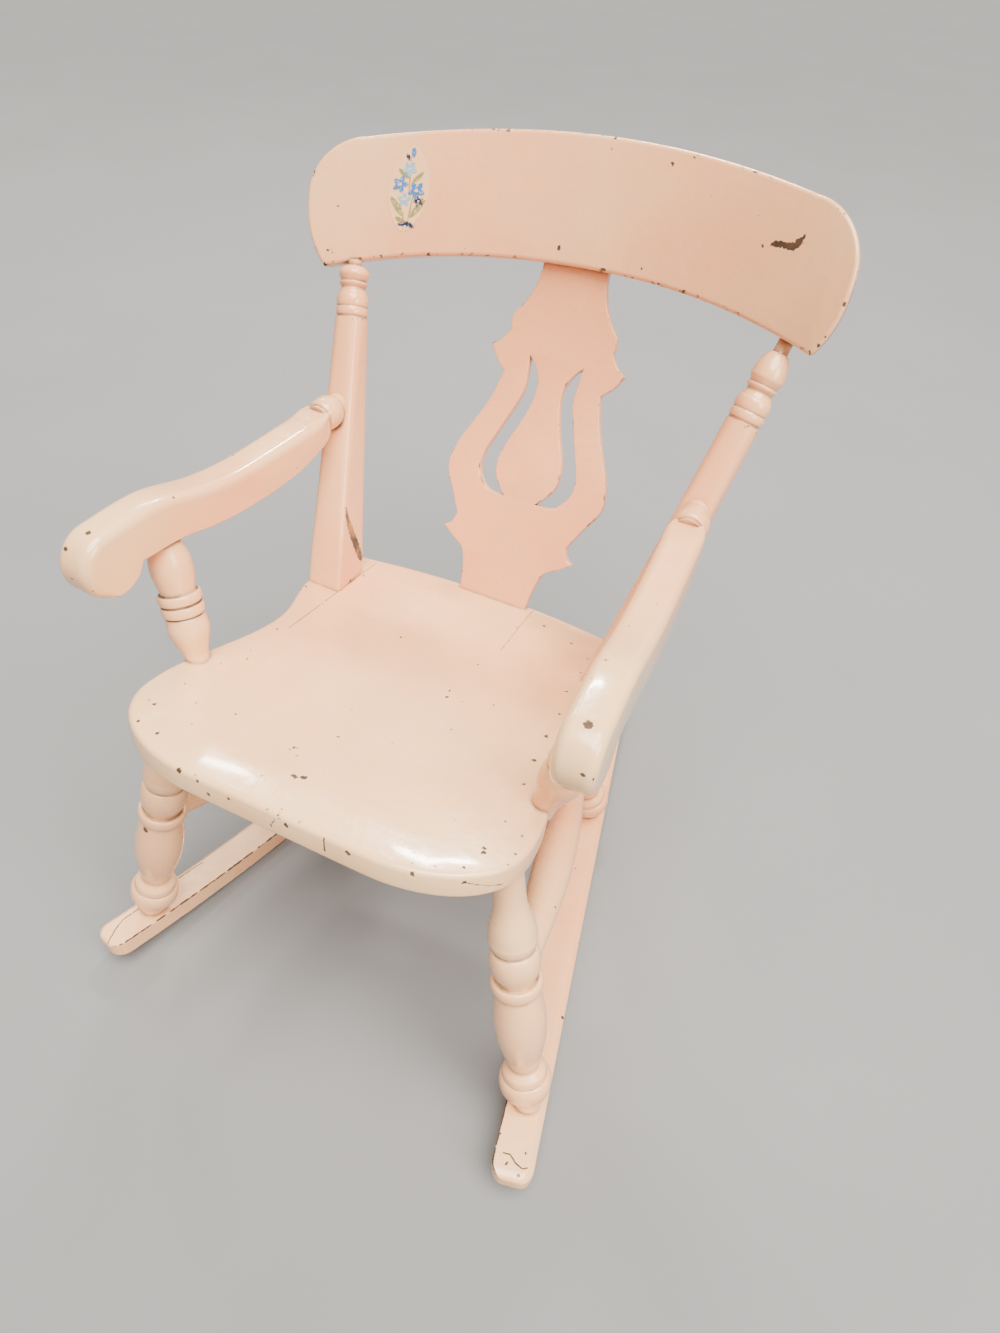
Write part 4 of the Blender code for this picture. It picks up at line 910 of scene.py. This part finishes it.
def rail_foot(x):
    return -RAIL_END_DROP * (abs(x) / RAIL_HALF_FOOT) ** RAIL_END_POWER


def rail_half_outline():
    shoulder = RAIL_HALF_WIDTH - RAIL_CORNER
    corner_foot = RAIL_SHOULDER_HEIGHT - RAIL_CORNER_HEIGHT
    half = []
    for i in range(RAIL_STEPS + 1):
        share = i / RAIL_STEPS
        arch = (RAIL_HEIGHT - RAIL_SHOULDER_HEIGHT) * share ** 2
        half.append((shoulder * share, RAIL_HEIGHT - arch))
    for i in range(1, RAIL_CORNER_STEPS + 1):
        angle = math.pi / 2 * i / RAIL_CORNER_STEPS
        half.append((shoulder + RAIL_CORNER * math.sin(angle),
                     corner_foot + RAIL_CORNER_HEIGHT * math.cos(angle)))
    for i in range(1, RAIL_END_STEPS + 1):
        share = i / RAIL_END_STEPS
        x = RAIL_HALF_WIDTH - (RAIL_HALF_WIDTH - RAIL_HALF_FOOT) * share ** RAIL_END_POWER
        half.append((x, corner_foot - (corner_foot + RAIL_END_DROP) * share))
    for i in range(1, RAIL_STEPS + 1):
        x = RAIL_HALF_FOOT * (1 - i / RAIL_STEPS)
        half.append((x, rail_foot(x)))
    return half


# The edge at the rail's right end where the paint is rubbed away, in millimetres
RAIL_WORN_END = [1e3 * rail_point(x, t, 0.012) for x, t in (
    (0.2530, 0.046), (0.2505, 0.022), (0.2455, 0.002), (0.2352, -0.0164))]
right_half = rail_half_outline()
rail = bmesh.new()
rail.faces.new([rail.verts.new((x, 0.0, t)) for x, t in
                right_half + [(-x, t) for x, t in reversed(right_half[1:-1])]])
thicken(rail, 1, RAIL_THICKNESS, RAIL_ARRIS)
slice_across(rail, 0, -RAIL_HALF_WIDTH, RAIL_HALF_WIDTH, BOARD_GRID)
mark_edges(rail)
for vert in rail.verts:
    vert.co = rail_point(vert.co.x, vert.co.z, vert.co.y)
rail_gloss = old_gloss("pink_gloss_on_rail", pink=0.45, gloss=0.24, worn=0.38, pits=0.15,
                       spots=RAIL_CHIPS, splits=[(2.6, (1, 1, 1), RAIL_WORN_END)])
set_in_place("bowed_crest_rail", rail, rail_gloss, "crest_rail")


# Flower transfer: a worn nursery transfer on the rail's left end, a small posy of blue flowers
# and leaves printed on a cream film, and varnished over.
POSY_CENTRE = (-0.165, 0.052)
POSY_LIFT = 0.00010
POSY_INKS = {
    "cream_film": (0.935, 0.50, 0.24, 1.0), "yellow_green": (0.24, 0.24, 0.08, 1.0),
    "sky_blue": (0.03, 0.17, 0.42, 1.0), "navy": (0.008, 0.022, 0.07, 1.0),
    "pale_blue": (0.22, 0.42, 0.55, 1.0),
}
FILM, GREEN, BLUE, NAVY, PALE = range(5)
# Leaves and stems: middle in millimetres from the posy's centre, length, width, heading in
# degrees, layer and ink
POSY_LEAVES = [
    (0, 0, 74, 37, 88, 1, FILM), (-3, -20, 34, 1.3, 96, 2, GREEN),
    (3, -18, 38, 1.3, 84, 2, GREEN), (0, 6, 52, 1.2, 92, 2, GREEN),
    (-9, -15, 22, 5.5, 128, 3, GREEN), (9, -17, 22, 5.5, 50, 3, GREEN),
    (-6, 13, 13, 4, 140, 3, GREEN), (7, 10, 14, 4, 44, 3, GREEN),
    (-4, -27, 13, 4.5, 155, 3, GREEN), (1, 31, 9, 4.4, 96, 4, BLUE),
    (-3.5, 27, 7, 3.4, 118, 4, NAVY),
    (-2, -29.5, 10, 4.0, 12, 5, NAVY), (4, -30.5, 10, 4.0, -22, 5, NAVY),
]
# Flowers: middle, petal length and ink of the petals
POSY_FLOWERS = [
    (-8, 4, 7.0, BLUE), (7, -1, 7.6, BLUE), (-1, 17, 6.4, PALE), (-3, -9, 6.0, PALE),
    (10, -10, 4.6, NAVY),
]
PETALS = 5
# Degrees that a flower is turned for each millimetre that it lies to the right
PETAL_TURN = 18.0
# A petal's place out from the eye, its width and the eye's width, as shares of its length
PETAL_OUT = 0.55
PETAL_WIDTH = 0.62
FLOWER_EYE = 0.42
# The share of its width that a petal loses at its ends
PETAL_NARROWING = 0.30
PETAL_LAYER = 5
EYE_LAYER = 8
# The ink's cracks in waves to the metre, how far it is rubbed off, and how high it stands
INK_CRACKS = 420.0
INK_RUBBED = 0.55
INK_RELIEF = 0.00008


# Printed ink, cracked and rubbed thin in places
def printed_ink(name, colour):
    ink = bpy.data.materials.new(name)
    ink.use_nodes = True
    tree = ink.node_tree
    shader = tree.nodes["Principled BSDF"]
    where = stir(tree, "TexCoord").outputs["Object"]
    worn = mottle(tree, where, INK_CRACKS, 4.0, 0.7)
    thin = between(tree, worn, 0.52, 0.62)
    share = reckon(tree, "MULTIPLY", thin, INK_RUBBED)
    tree.links.new(blend(tree, share, colour, POSY_INKS["cream_film"]),
                   shader.inputs["Base Color"])
    tree.links.new(between(tree, worn, 0.3, 0.7, 0.22, 0.42), shader.inputs["Roughness"])
    relief = stir(tree, "Bump", [("Height", worn), ("Distance", INK_RELIEF), ("Strength", 1.0)])
    tree.links.new(relief.outputs[0], shader.inputs["Normal"])
    return ink


def lay_petal(bm, middle, length, width, heading, layer, ink):
    disc = bmesh.ops.create_circle(bm, cap_ends=True, segments=20, radius=1.0)["verts"]
    for vert in disc:
        narrowing = 1.0 - PETAL_NARROWING * vert.co.x ** 2
        vert.co = (vert.co.x * length / 2e3, vert.co.y * narrowing * width / 2e3,
                   POSY_LIFT * layer)
    bmesh.ops.rotate(bm, cent=(0, 0, 0), matrix=Matrix.Rotation(math.radians(heading), 3, "Z"),
                     verts=disc)
    bmesh.ops.translate(bm, vec=(POSY_CENTRE[0] + middle[0] / 1e3,
                                 POSY_CENTRE[1] + middle[1] / 1e3, 0.0), verts=disc)
    disc[0].link_faces[0].material_index = ink


posy = bmesh.new()
for x, t, length, width, heading, layer, ink in POSY_LEAVES:
    lay_petal(posy, (x, t), length, width, heading, layer, ink)
for x, t, petal, ink in POSY_FLOWERS:
    for i in range(PETALS):
        angle = math.radians(360.0 / PETALS * i + PETAL_TURN * x)
        out = petal * PETAL_OUT
        middle = (x + out * math.cos(angle), t + out * math.sin(angle))
        lay_petal(posy, middle, petal, petal * PETAL_WIDTH, math.degrees(angle),
                  PETAL_LAYER + i % 2, ink)
    lay_petal(posy, (x, t), petal * FLOWER_EYE, petal * FLOWER_EYE, 0, EYE_LAYER, FILM)
printed = bmesh.ops.extrude_face_region(posy, geom=posy.faces[:])
raised = [g for g in printed["geom"] if isinstance(g, bmesh.types.BMVert)]
bmesh.ops.translate(posy, vec=(0, 0, POSY_LIFT), verts=raised)
for vert in posy.verts:
    vert.co = rail_point(vert.co.x, vert.co.y, -vert.co.z)
bmesh.ops.recalc_face_normals(posy, faces=posy.faces)
posy_mesh = bpy.data.meshes.new("flower_transfer")
posy.to_mesh(posy_mesh)
posy.free()
for ink, colour in POSY_INKS.items():
    posy_mesh.materials.append(printed_ink(f"transfer_{ink}", colour))
transfer = bpy.data.objects.new("flower_transfer", posy_mesh)
bpy.context.collection.objects.link(transfer)
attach(transfer, "root")


# Back posts: raked blocks, square at the seat and planed rounder upwards, then turned to rings
# and an urn under the rail. The left one is scraped to the wood on its inner face.
POST_BASE = (0.1535, 0.028)
POST_TOP_INSET = 0.0439
POST_BLOCK = (0.037, 0.047)
POST_BLOCK_HEIGHT = 0.028
POST_SHAFT_RADIUS = 0.0152
POST_SHAFT_LENGTH = 0.2552
POST_NECK_RADIUS = 0.0066
POST_NECK_SHOWN = 0.0015
POST_TAPER = 0.0210
POST_TAPER_RADIUS = 0.0080
POST_FOOT_POWER = 16.0
POST_TOP_POWER = 2.5
POST_SOFTENING = 1.6
POST_NARROWING = (0.55, 0.85)
POST_TENON = 0.004
POST_URN_FULLNESS = 0.7
POST_URN_STEPS = 14
POST_SIDES = 64
POST_WEAR = (9.0, 20.0)
POST_TURNING = [
    ("straight", 0, 0.0144, 0), ("straight", 0.0020, 0.0144, 0),
    ("bead", 0.0085, 0.0144, 0.0013), ("bead", 0.0120, 0.0136, 0.0017),
    ("curve", 0.0055, 0.0115, 0), ("curve", 0.0040, 0.0137, 0),
    ("straight", 0.0015, 0.0137, 0), ("straight", 0, 0.0122, 0),
    ("curve", 0.0075, 0.0149, 0),
]
# The scrape's middle line with its half width, (x, y, z, radius) in millimetres
SCRAPE_MARKS = [
    (-149.2, 49.5, 388, 1.6), (-147, 48.0, 375, 3.6), (-145, 49.0, 363.5, 4.8),
    (-143.2, 50.3, 353, 5.4), (-141.5, 52.1, 342, 5.6), (-140.2, 53.6, 333, 4.8),
    (-139.4, 54.8, 324, 2.2),
]
POST_SCRAPE = [tuple(a + (b - a) * share for a, b in zip(mark, following))
               for mark, following in zip(SCRAPE_MARKS, SCRAPE_MARKS[1:])
               for share in (0.0, 0.25, 0.5, 0.75)]


# A square with rounded corners: power 2 is a circle, and higher powers have crisper corners
def squircle(half_x, half_y, power, z):
    ring = []
    for i in range(POST_SIDES):
        angle = 2.0 * math.pi * i / POST_SIDES
        c, s = math.cos(angle), math.sin(angle)
        x = half_x * math.copysign(abs(c) ** (2.0 / power), c)
        y = half_y * math.copysign(abs(s) ** (2.0 / power), s)
        ring.append(Vector((x, y, z)))
    return ring


def shaft_rings(steps=24):
    low = -POST_BLOCK[1]
    rings = []
    for i in range(steps + 1):
        t = i / steps
        height = low + (POST_SHAFT_LENGTH - low) * t
        above = max(height - POST_BLOCK_HEIGHT, 0.0) / (POST_SHAFT_LENGTH - POST_BLOCK_HEIGHT)
        half_x, half_y = (block / 2 + (POST_SHAFT_RADIUS - block / 2) * above ** narrowing
                          for block, narrowing in zip(POST_BLOCK, POST_NARROWING))
        power = POST_TOP_POWER + (POST_FOOT_POWER - POST_TOP_POWER) * (1.0 - t) ** POST_SOFTENING
        rings.append(squircle(half_x, half_y, power, height))
    return rings


post_gloss = old_gloss("pink_gloss_on_posts", pink=0.6, gloss=0.22, worn=0.25, pits=0.2,
                       scrape=POST_SCRAPE)
post_axes = {}
for side, hand in (("left", -1.0), ("right", 1.0)):
    foot = seat_point(hand * POST_BASE[0], POST_BASE[1])
    top_x = RAIL_HALF_WIDTH - POST_TOP_INSET
    under = (hand * top_x, rail_foot(top_x), RAIL_THICKNESS / 2)
    level = rail_point(*under, roll=0.0)
    axes = axis_frame(foot, level)
    rise = (level - foot).normalized().z
    length = (level - foot).length + (rail_point(*under).z - level.z) / rise
    points = profile(POST_SHAFT_RADIUS, POST_TURNING, POST_SHAFT_LENGTH)
    urn_top, urn_radius = points[-1]
    taper = min(POST_TAPER, length - POST_NECK_SHOWN - urn_top)
    for i in range(1, POST_URN_STEPS + 1):
        t = i / POST_URN_STEPS
        swell = math.cos(math.pi / 2 * t) ** POST_URN_FULLNESS
        points.append((urn_top + taper * t,
                       POST_TAPER_RADIUS + (urn_radius - POST_TAPER_RADIUS) * swell))
    points.append((urn_top + taper, POST_NECK_RADIUS))
    points.append((length + POST_TENON, POST_NECK_RADIUS))
    z, r, hollow = painted_profile(points)
    post = loft(shaft_rings() + [squircle(radius, radius, 2.0, at) for at, radius in
                                 list(zip(z, r))[1:]])
    grime_and_shade_in_grooves(post, z, hollow)
    bmesh.ops.transform(post, matrix=axes, verts=post.verts)
    bmesh.ops.bisect_plane(post, geom=post.verts[:] + post.edges[:] + post.faces[:],
                           plane_co=foot, plane_no=-seat_normal(), dist=SAW_SNAP,
                           clear_outer=True)
    bmesh.ops.contextual_create(post, geom=[e for e in post.edges if e.is_boundary])
    mark_edges(post, *POST_WEAR)
    post_axes[side] = axes
    set_in_place(f"raked_back_post_{side}", post, post_gloss,
                 f"back_post_{side}")


# Arms: sawn bars with a round knuckle in front and a deep belly, rounded over on every edge. A
# small turned collar joins the bullet-shaped tail to the post.
ARM_FRONT = (0.2045, -0.2024, 0.4696)
ARM_LENGTH = 0.268
ARM_KNUCKLE_RADIUS = 0.029
ARM_KNUCKLE_TURN = math.radians(245.0)
ARM_THICKNESS = 0.038
ARM_TAIL_THICKNESS = 0.020
ARM_TAIL_DROP = 0.0012
ARM_WIDTH_FRONT = 0.033
ARM_WIDTH_REAR = 0.035
ARM_TOP_ROUND = 0.0085
ARM_UNDER_ROUND = 0.0024
ARM_NECK_RADIUS = 0.0125
ARM_COLLAR_RADIUS = 0.0165
ARM_COLLAR_AT = 0.011
ARM_TENON = 0.010
ARM_TAIL_ROUND = 0.020
ARM_TAIL_FADE = 0.024
ARM_TAIL_REACH = 0.008
ARM_TAIL_FROM = 0.200
ARM_TAIL_NARROWING = 0.55
ARM_TAIL_POWER = 2.4
ARM_TAIL_FLATTENING = 0.65
ARM_TAIL_SLICE = 0.0013
ARM_TAIL_LEAST_ROUND = 0.1
# Where the knuckle's broad rounding starts below its middle, how far it takes to grow, and how
# far ahead of the middle it is nearly as broad underneath
ARM_ROUND_FROM = 0.020
ARM_ROUND_GROWTH = 0.030
ARM_ROUND_AHEAD = 0.012
# Behind the knuckle the rounding is broad above this height, which rises towards the tail
ARM_ROUND_ABOVE = -0.006
ARM_ROUND_RISE = 0.010
ARM_STEPS = 8
KNUCKLE_STEPS = 36
# The sawing pattern behind the knuckle, in millimetres back from its centre and up from it
ARM_DRAWN = (268.0, 38.0)
ARM_TOP = [(247.0, 7.3), (163.0, 7.6), (110.0, 14.0), (54.0, 28.5)]
ARM_BELLY = [(67.0, -15.3), (110.0, -24.8), (155.0, -29.7), (209.0, -30.0), (247.0, -21.2)]
COLLAR_NECK = ARM_COLLAR_AT / 3
COLLAR_LENGTH = 1.9 * ARM_COLLAR_AT
COLLAR_TURNING = [
    ("straight", COLLAR_NECK, ARM_NECK_RADIUS, 0),
    ("bead", COLLAR_LENGTH, ARM_NECK_RADIUS, ARM_COLLAR_RADIUS - ARM_NECK_RADIUS),
]
ARM_CHIPS = [
    (-202.6, -207.6, 497.7, 2.2), (-213.4, -223, 488.9, 2.0), (-214.5, -222, 492, 1.6),
    (-206.1, -230.9, 468.9, 1.3), (-190.5, -228, 459.4, 1.4), (-205.3, -37.6, 477.2, 1.2),
    (205.6, -207.8, 497.6, 3.0), (213.8, -229.6, 476.6, 1.7), (221.6, -228.2, 473.7, 1.8),
    (191, -88.5, 482.8, 0.9), (193.6, -146.2, 497.4, 0.8), (192.2, -168.5, 498.8, 0.9),
]


def arm_mark(point):
    back, up = point
    return (back / ARM_DRAWN[0] * ARM_LENGTH, up / ARM_DRAWN[1] * ARM_THICKNESS)


def arm_tail(side):
    return (ARM_LENGTH, side * ARM_TAIL_THICKNESS / 2 - ARM_TAIL_DROP)


def arm_knuckle(share):
    angle = math.pi / 2 + ARM_KNUCKLE_TURN * share
    return (ARM_KNUCKLE_RADIUS * math.cos(angle), ARM_KNUCKLE_RADIUS * math.sin(angle))


def arm_belly(steps):
    marks = [arm_knuckle(1.0)] + [arm_mark(p) for p in ARM_BELLY] + [arm_tail(-1)]
    return smooth(marks, steps)


def arm_outline():
    top = smooth([arm_tail(1)] + [arm_mark(p) for p in ARM_TOP] + [arm_knuckle(0.0)], ARM_STEPS)
    knuckle = [arm_knuckle(i / KNUCKLE_STEPS) for i in range(1, KNUCKLE_STEPS + 1)]
    return top + knuckle + arm_belly(ARM_STEPS)[1:]


# How broadly the arm's edge is rounded over at a place on its outline: broadly along the top
# and round the front of the knuckle, hardly at all underneath
def arm_rounding(back, up):
    if back < ARM_KNUCKLE_RADIUS:
        ahead = max(-back, 0.0) / ARM_ROUND_AHEAD
        above = min(max((up + ARM_ROUND_FROM) / ARM_ROUND_GROWTH + ahead, 0.0), 1.0)
    else:
        least = ARM_ROUND_ABOVE + ARM_ROUND_RISE * min(back / ARM_LENGTH, 1.0)
        above = 1.0 if up > least else 0.0
    fading = min(max((ARM_LENGTH - back) / ARM_TAIL_FADE, ARM_TAIL_LEAST_ROUND), 1.0)
    return fading * (ARM_UNDER_ROUND + (ARM_TOP_ROUND - ARM_UNDER_ROUND) * above)


# The bar is drawn through rings from one side to the other, each a little inside the outline
# where the edges round over
def arm_bar(steps=8):
    outline = [Vector(p) for p in arm_outline()]
    half = ARM_WIDTH_FRONT / 2
    inward = []
    for i, point in enumerate(outline):
        along = outline[(i + 1) % len(outline)] - outline[i - 1]
        inward.append(Vector((-along.y, along.x)).normalized())
    rings = []
    for hand in (-1.0, 1.0):
        for k in range(steps + 1):
            angle = math.pi / 2 * (k if hand < 0 else steps - k) / steps
            ring = []
            for point, inner in zip(outline, inward):
                round_over = arm_rounding(point.x, point.y)
                inset = point + inner * round_over * (1.0 - math.sin(angle))
                x = hand * (half - round_over * (1.0 - math.cos(angle)))
                ring.append(Vector((x, inset.x, inset.y)))
            rings.append(ring)
    bm = loft(rings)
    slice_across(bm, 1, ARM_LENGTH - ARM_TAIL_ROUND, ARM_LENGTH, ARM_TAIL_SLICE)
    for vert in bm.verts:
        taper = vert.co.y / ARM_LENGTH
        vert.co.x *= 1.0 + (ARM_WIDTH_REAR / ARM_WIDTH_FRONT - 1.0) * taper
        late = max(vert.co.y - (ARM_LENGTH - ARM_TAIL_ROUND), 0.0) / ARM_TAIL_ROUND
        draw_in = math.sqrt(1.0 - ARM_TAIL_NARROWING * min(late, 1.0) ** ARM_TAIL_POWER)
        vert.co.x *= draw_in
        flattened = ARM_TAIL_FLATTENING * (1.0 - draw_in)
        vert.co.z = (vert.co.z + ARM_TAIL_DROP) * (1.0 - flattened) - ARM_TAIL_DROP
        behind = max(vert.co.y - ARM_TAIL_FROM, 0.0) / (ARM_LENGTH - ARM_TAIL_FROM)
        vert.co.y += ARM_TAIL_REACH * behind
    bmesh.ops.triangulate(bm, faces=[f for f in bm.faces if len(f.verts) > 4])
    return bm


def post_at_height(axes, z):
    start = axes.translation
    along = axes.to_3x3() @ Vector((0, 0, 1))
    return start + along * ((z - start.z) / along.z)


arm_gloss = old_gloss("cream_gloss_on_arms", pink=0.50, gloss=0.17, worn=0.22, pits=0.15,
                      spots=ARM_CHIPS)
arm_axes = {}
for side, hand in (("left", -1.0), ("right", 1.0)):
    front = Vector((hand * ARM_FRONT[0], ARM_FRONT[1], ARM_FRONT[2]))
    back = post_at_height(post_axes[side], front.z - ARM_TAIL_DROP)
    run = Vector((back.x - front.x, back.y - front.y, 0.0))
    across = run.cross(Vector((0, 0, 1))).normalized()
    turned_axes = Matrix((across, run.normalized(), Vector((0, 0, 1)))).transposed().to_4x4()
    axes = Matrix.Translation(front) @ turned_axes
    arm_axes[side] = axes
    arm = arm_bar()
    bmesh.ops.transform(arm, matrix=axes, verts=arm.verts)
    drop = Vector((0, 0, -ARM_TAIL_DROP))
    neck = axes @ (Vector((0, ARM_LENGTH + ARM_TAIL_REACH - ARM_COLLAR_AT / 2, 0)) + drop)
    collar_axes = axis_frame(neck, axes @ (Vector((0, ARM_LENGTH * 2, 0)) + drop))
    reach = (back - neck).length - POST_SHAFT_RADIUS + ARM_TENON
    collar = profile(ARM_NECK_RADIUS, COLLAR_TURNING)
    collar = [(z, r) for z, r in collar if z < reach]
    set_in_place(f"knuckle_arm_{side}", arm, arm_gloss, f"arm_{side}")
    ring = turn(collar + [(reach, collar[-1][1])], collar_axes, 40)
    set_in_place(f"turned_arm_collar_{side}", ring, arm_gloss,
                 f"arm_{side}")


# Arm supports: short turned balusters, with an egg under the arm, two fat rings and a vase that
# tapers to its foot in the seat. Their grooves and round the foot are darkened, partly grime, partly
# painted shade.
SUPPORT_FOOT = (0.1700, -0.1630)
SUPPORT_BEHIND_KNUCKLE = 0.061
SUPPORT_FOOT_RADIUS = 0.0108
SUPPORT_TENON = 0.010
SUPPORT_TURNING = [
    ("curve", 0.0300, 0.0183, 0), ("straight", 0.0090, 0.0172, 0),
    ("curve", 0.0030, 0.0155, 0), ("straight", 0, 0.0175, 0),
    ("bead", 0.0090, 0.0175, 0.0012), ("straight", 0, 0.0158, 0),
    ("straight", 0.0020, 0.0158, 0), ("straight", 0, 0.0178, 0),
    ("bead", 0.0085, 0.0178, 0.0012), ("straight", 0, 0.0150, 0),
    ("straight", 0.0030, 0.0152, 0), ("barrel", 0.0460, 0.0110, 0.0050),
]
support_gloss = old_gloss("pink_gloss_on_supports", pink=0.7, gloss=0.24, worn=0.25, pits=0.2,
                          grime_and_shade_amount=1.2)
for side, hand in (("left", -1.0), ("right", 1.0)):
    foot = seat_point(hand * SUPPORT_FOOT[0], SUPPORT_FOOT[1])
    belly = reading(arm_belly(2), SUPPORT_BEHIND_KNUCKLE)
    crown = arm_axes[side] @ Vector((0.0, SUPPORT_BEHIND_KNUCKLE, belly))
    axes, points = fit_turning(foot, crown, SUPPORT_TURNING, SUPPORT_FOOT_RADIUS, SUPPORT_TENON)
    set_in_place(f"turned_arm_support_{side}", turn(points, axes), support_gloss,
                 f"arm_support_{side}")


# Floor, light and camera: a plain pale floor, an even light from above, two short ceiling tubes
# behind the chair whose shine shows along the seat's front, a window at its right side, and the
# camera where the photograph was taken from.
FLOOR_RADIUS = 30.0
FLOOR_TONES = ((0.185, 0.184, 0.180, 1.0), (0.21, 0.208, 0.204, 1.0))
FLOOR_MOTTLE = 3.0
FLOOR_ROUGHNESS = 0.8
ROOM_TINT = (0.93, 0.95, 1.0, 1.0)
ROOM_LIGHT = 0.18
# Each tube's name, its place across, its length and its watts
TUBES = [("near_tube", -0.60, 0.50, 50.0), ("far_tube", -1.75, 0.36, 22.0)]
TUBE_BEHIND = 1.75
TUBE_UP = 2.4
TUBE_WIDTH = 0.11
WINDOW_SIZE = 1.1
OVERHEAD_SPREAD = math.radians(50.0)
floor_shape = bmesh.new()
bmesh.ops.create_circle(floor_shape, cap_ends=True, segments=96, radius=FLOOR_RADIUS)
floor_mesh = bpy.data.meshes.new("pale_floor")
floor_shape.to_mesh(floor_mesh)
floor_shape.free()
floor = bpy.data.objects.new("pale_floor", floor_mesh)
bpy.context.collection.objects.link(floor)
floor_paint = bpy.data.materials.new("pale_floor_paint")
floor_paint.use_nodes = True
floor_shader = floor_paint.node_tree.nodes["Principled BSDF"]
floor_where = stir(floor_paint.node_tree, "TexCoord").outputs["Object"]
floor_tone = mottle(floor_paint.node_tree, floor_where, FLOOR_MOTTLE, 4.0)
floor_paint.node_tree.links.new(blend(floor_paint.node_tree, floor_tone, *FLOOR_TONES),
                                floor_shader.inputs["Base Color"])
floor_shader.inputs["Roughness"].default_value = FLOOR_ROUGHNESS
floor_mesh.materials.append(floor_paint)

world = bpy.data.worlds.new("soft_room")
bpy.context.scene.world = world
world.use_nodes = True
world.node_tree.nodes["Background"].inputs["Color"].default_value = ROOM_TINT
world.node_tree.nodes["Background"].inputs["Strength"].default_value = ROOM_LIGHT


def hang_light(name, kind, place, target, power, colour):
    lamp = bpy.data.lights.new(name, kind)
    lamp.energy = power
    lamp.color = colour
    holder = bpy.data.objects.new(name, lamp)
    bpy.context.collection.objects.link(holder)
    aim = (Vector(target) - Vector(place)).to_track_quat("-Z", "Y").to_matrix().to_4x4()
    holder.matrix_world = Matrix.Translation(place) @ aim
    return lamp


for name, x, length, watts in TUBES:
    tube = hang_light(name, "AREA", place=(x, TUBE_BEHIND, TUBE_UP), target=(0, 0, 0.4),
                      power=watts, colour=(1.0, 0.98, 0.95))
    tube.shape = "RECTANGLE"
    tube.size = length
    tube.size_y = TUBE_WIDTH
window = hang_light("side_window", "AREA", place=(2.4, -0.8, 1.7), target=(0, 0, 0.3),
                    power=60.0, colour=(1.0, 0.96, 0.90))
window.shape = "SQUARE"
window.size = WINDOW_SIZE
overhead = hang_light("even_overhead", "SUN", place=(0.6, -0.5, 2.5), target=(0, 0, 0.35),
                      power=10.5, colour=(1.0, 0.97, 0.92))
overhead.angle = OVERHEAD_SPREAD

CAMERA_PLACE = (0.31167287, -0.59536621, 0.92032925)
CAMERA_RIGHT = Vector((0.89616942, 0.44100453, 0.04894256))
CAMERA_DOWN = Vector((0.33613688, -0.60275408, -0.72367086))
CAMERA_AHEAD = Vector((-0.2896418, 0.66498309, -0.68840766))
SENSOR = 36.0
PICTURE_HEIGHT = 1333.0
FOCAL_PIXELS = 924.0
camera = bpy.data.cameras.new("photograph_camera")
camera.sensor_fit = "VERTICAL"
camera.sensor_height = SENSOR
camera.lens = FOCAL_PIXELS / PICTURE_HEIGHT * SENSOR
camera.clip_start = 0.02
stand = bpy.data.objects.new("photograph_camera", camera)
bpy.context.collection.objects.link(stand)
turned_to = Matrix((CAMERA_RIGHT, -CAMERA_DOWN, -CAMERA_AHEAD)).transposed().to_4x4()
stand.matrix_world = Matrix.Translation(CAMERA_PLACE) @ turned_to
bpy.context.scene.camera = stand
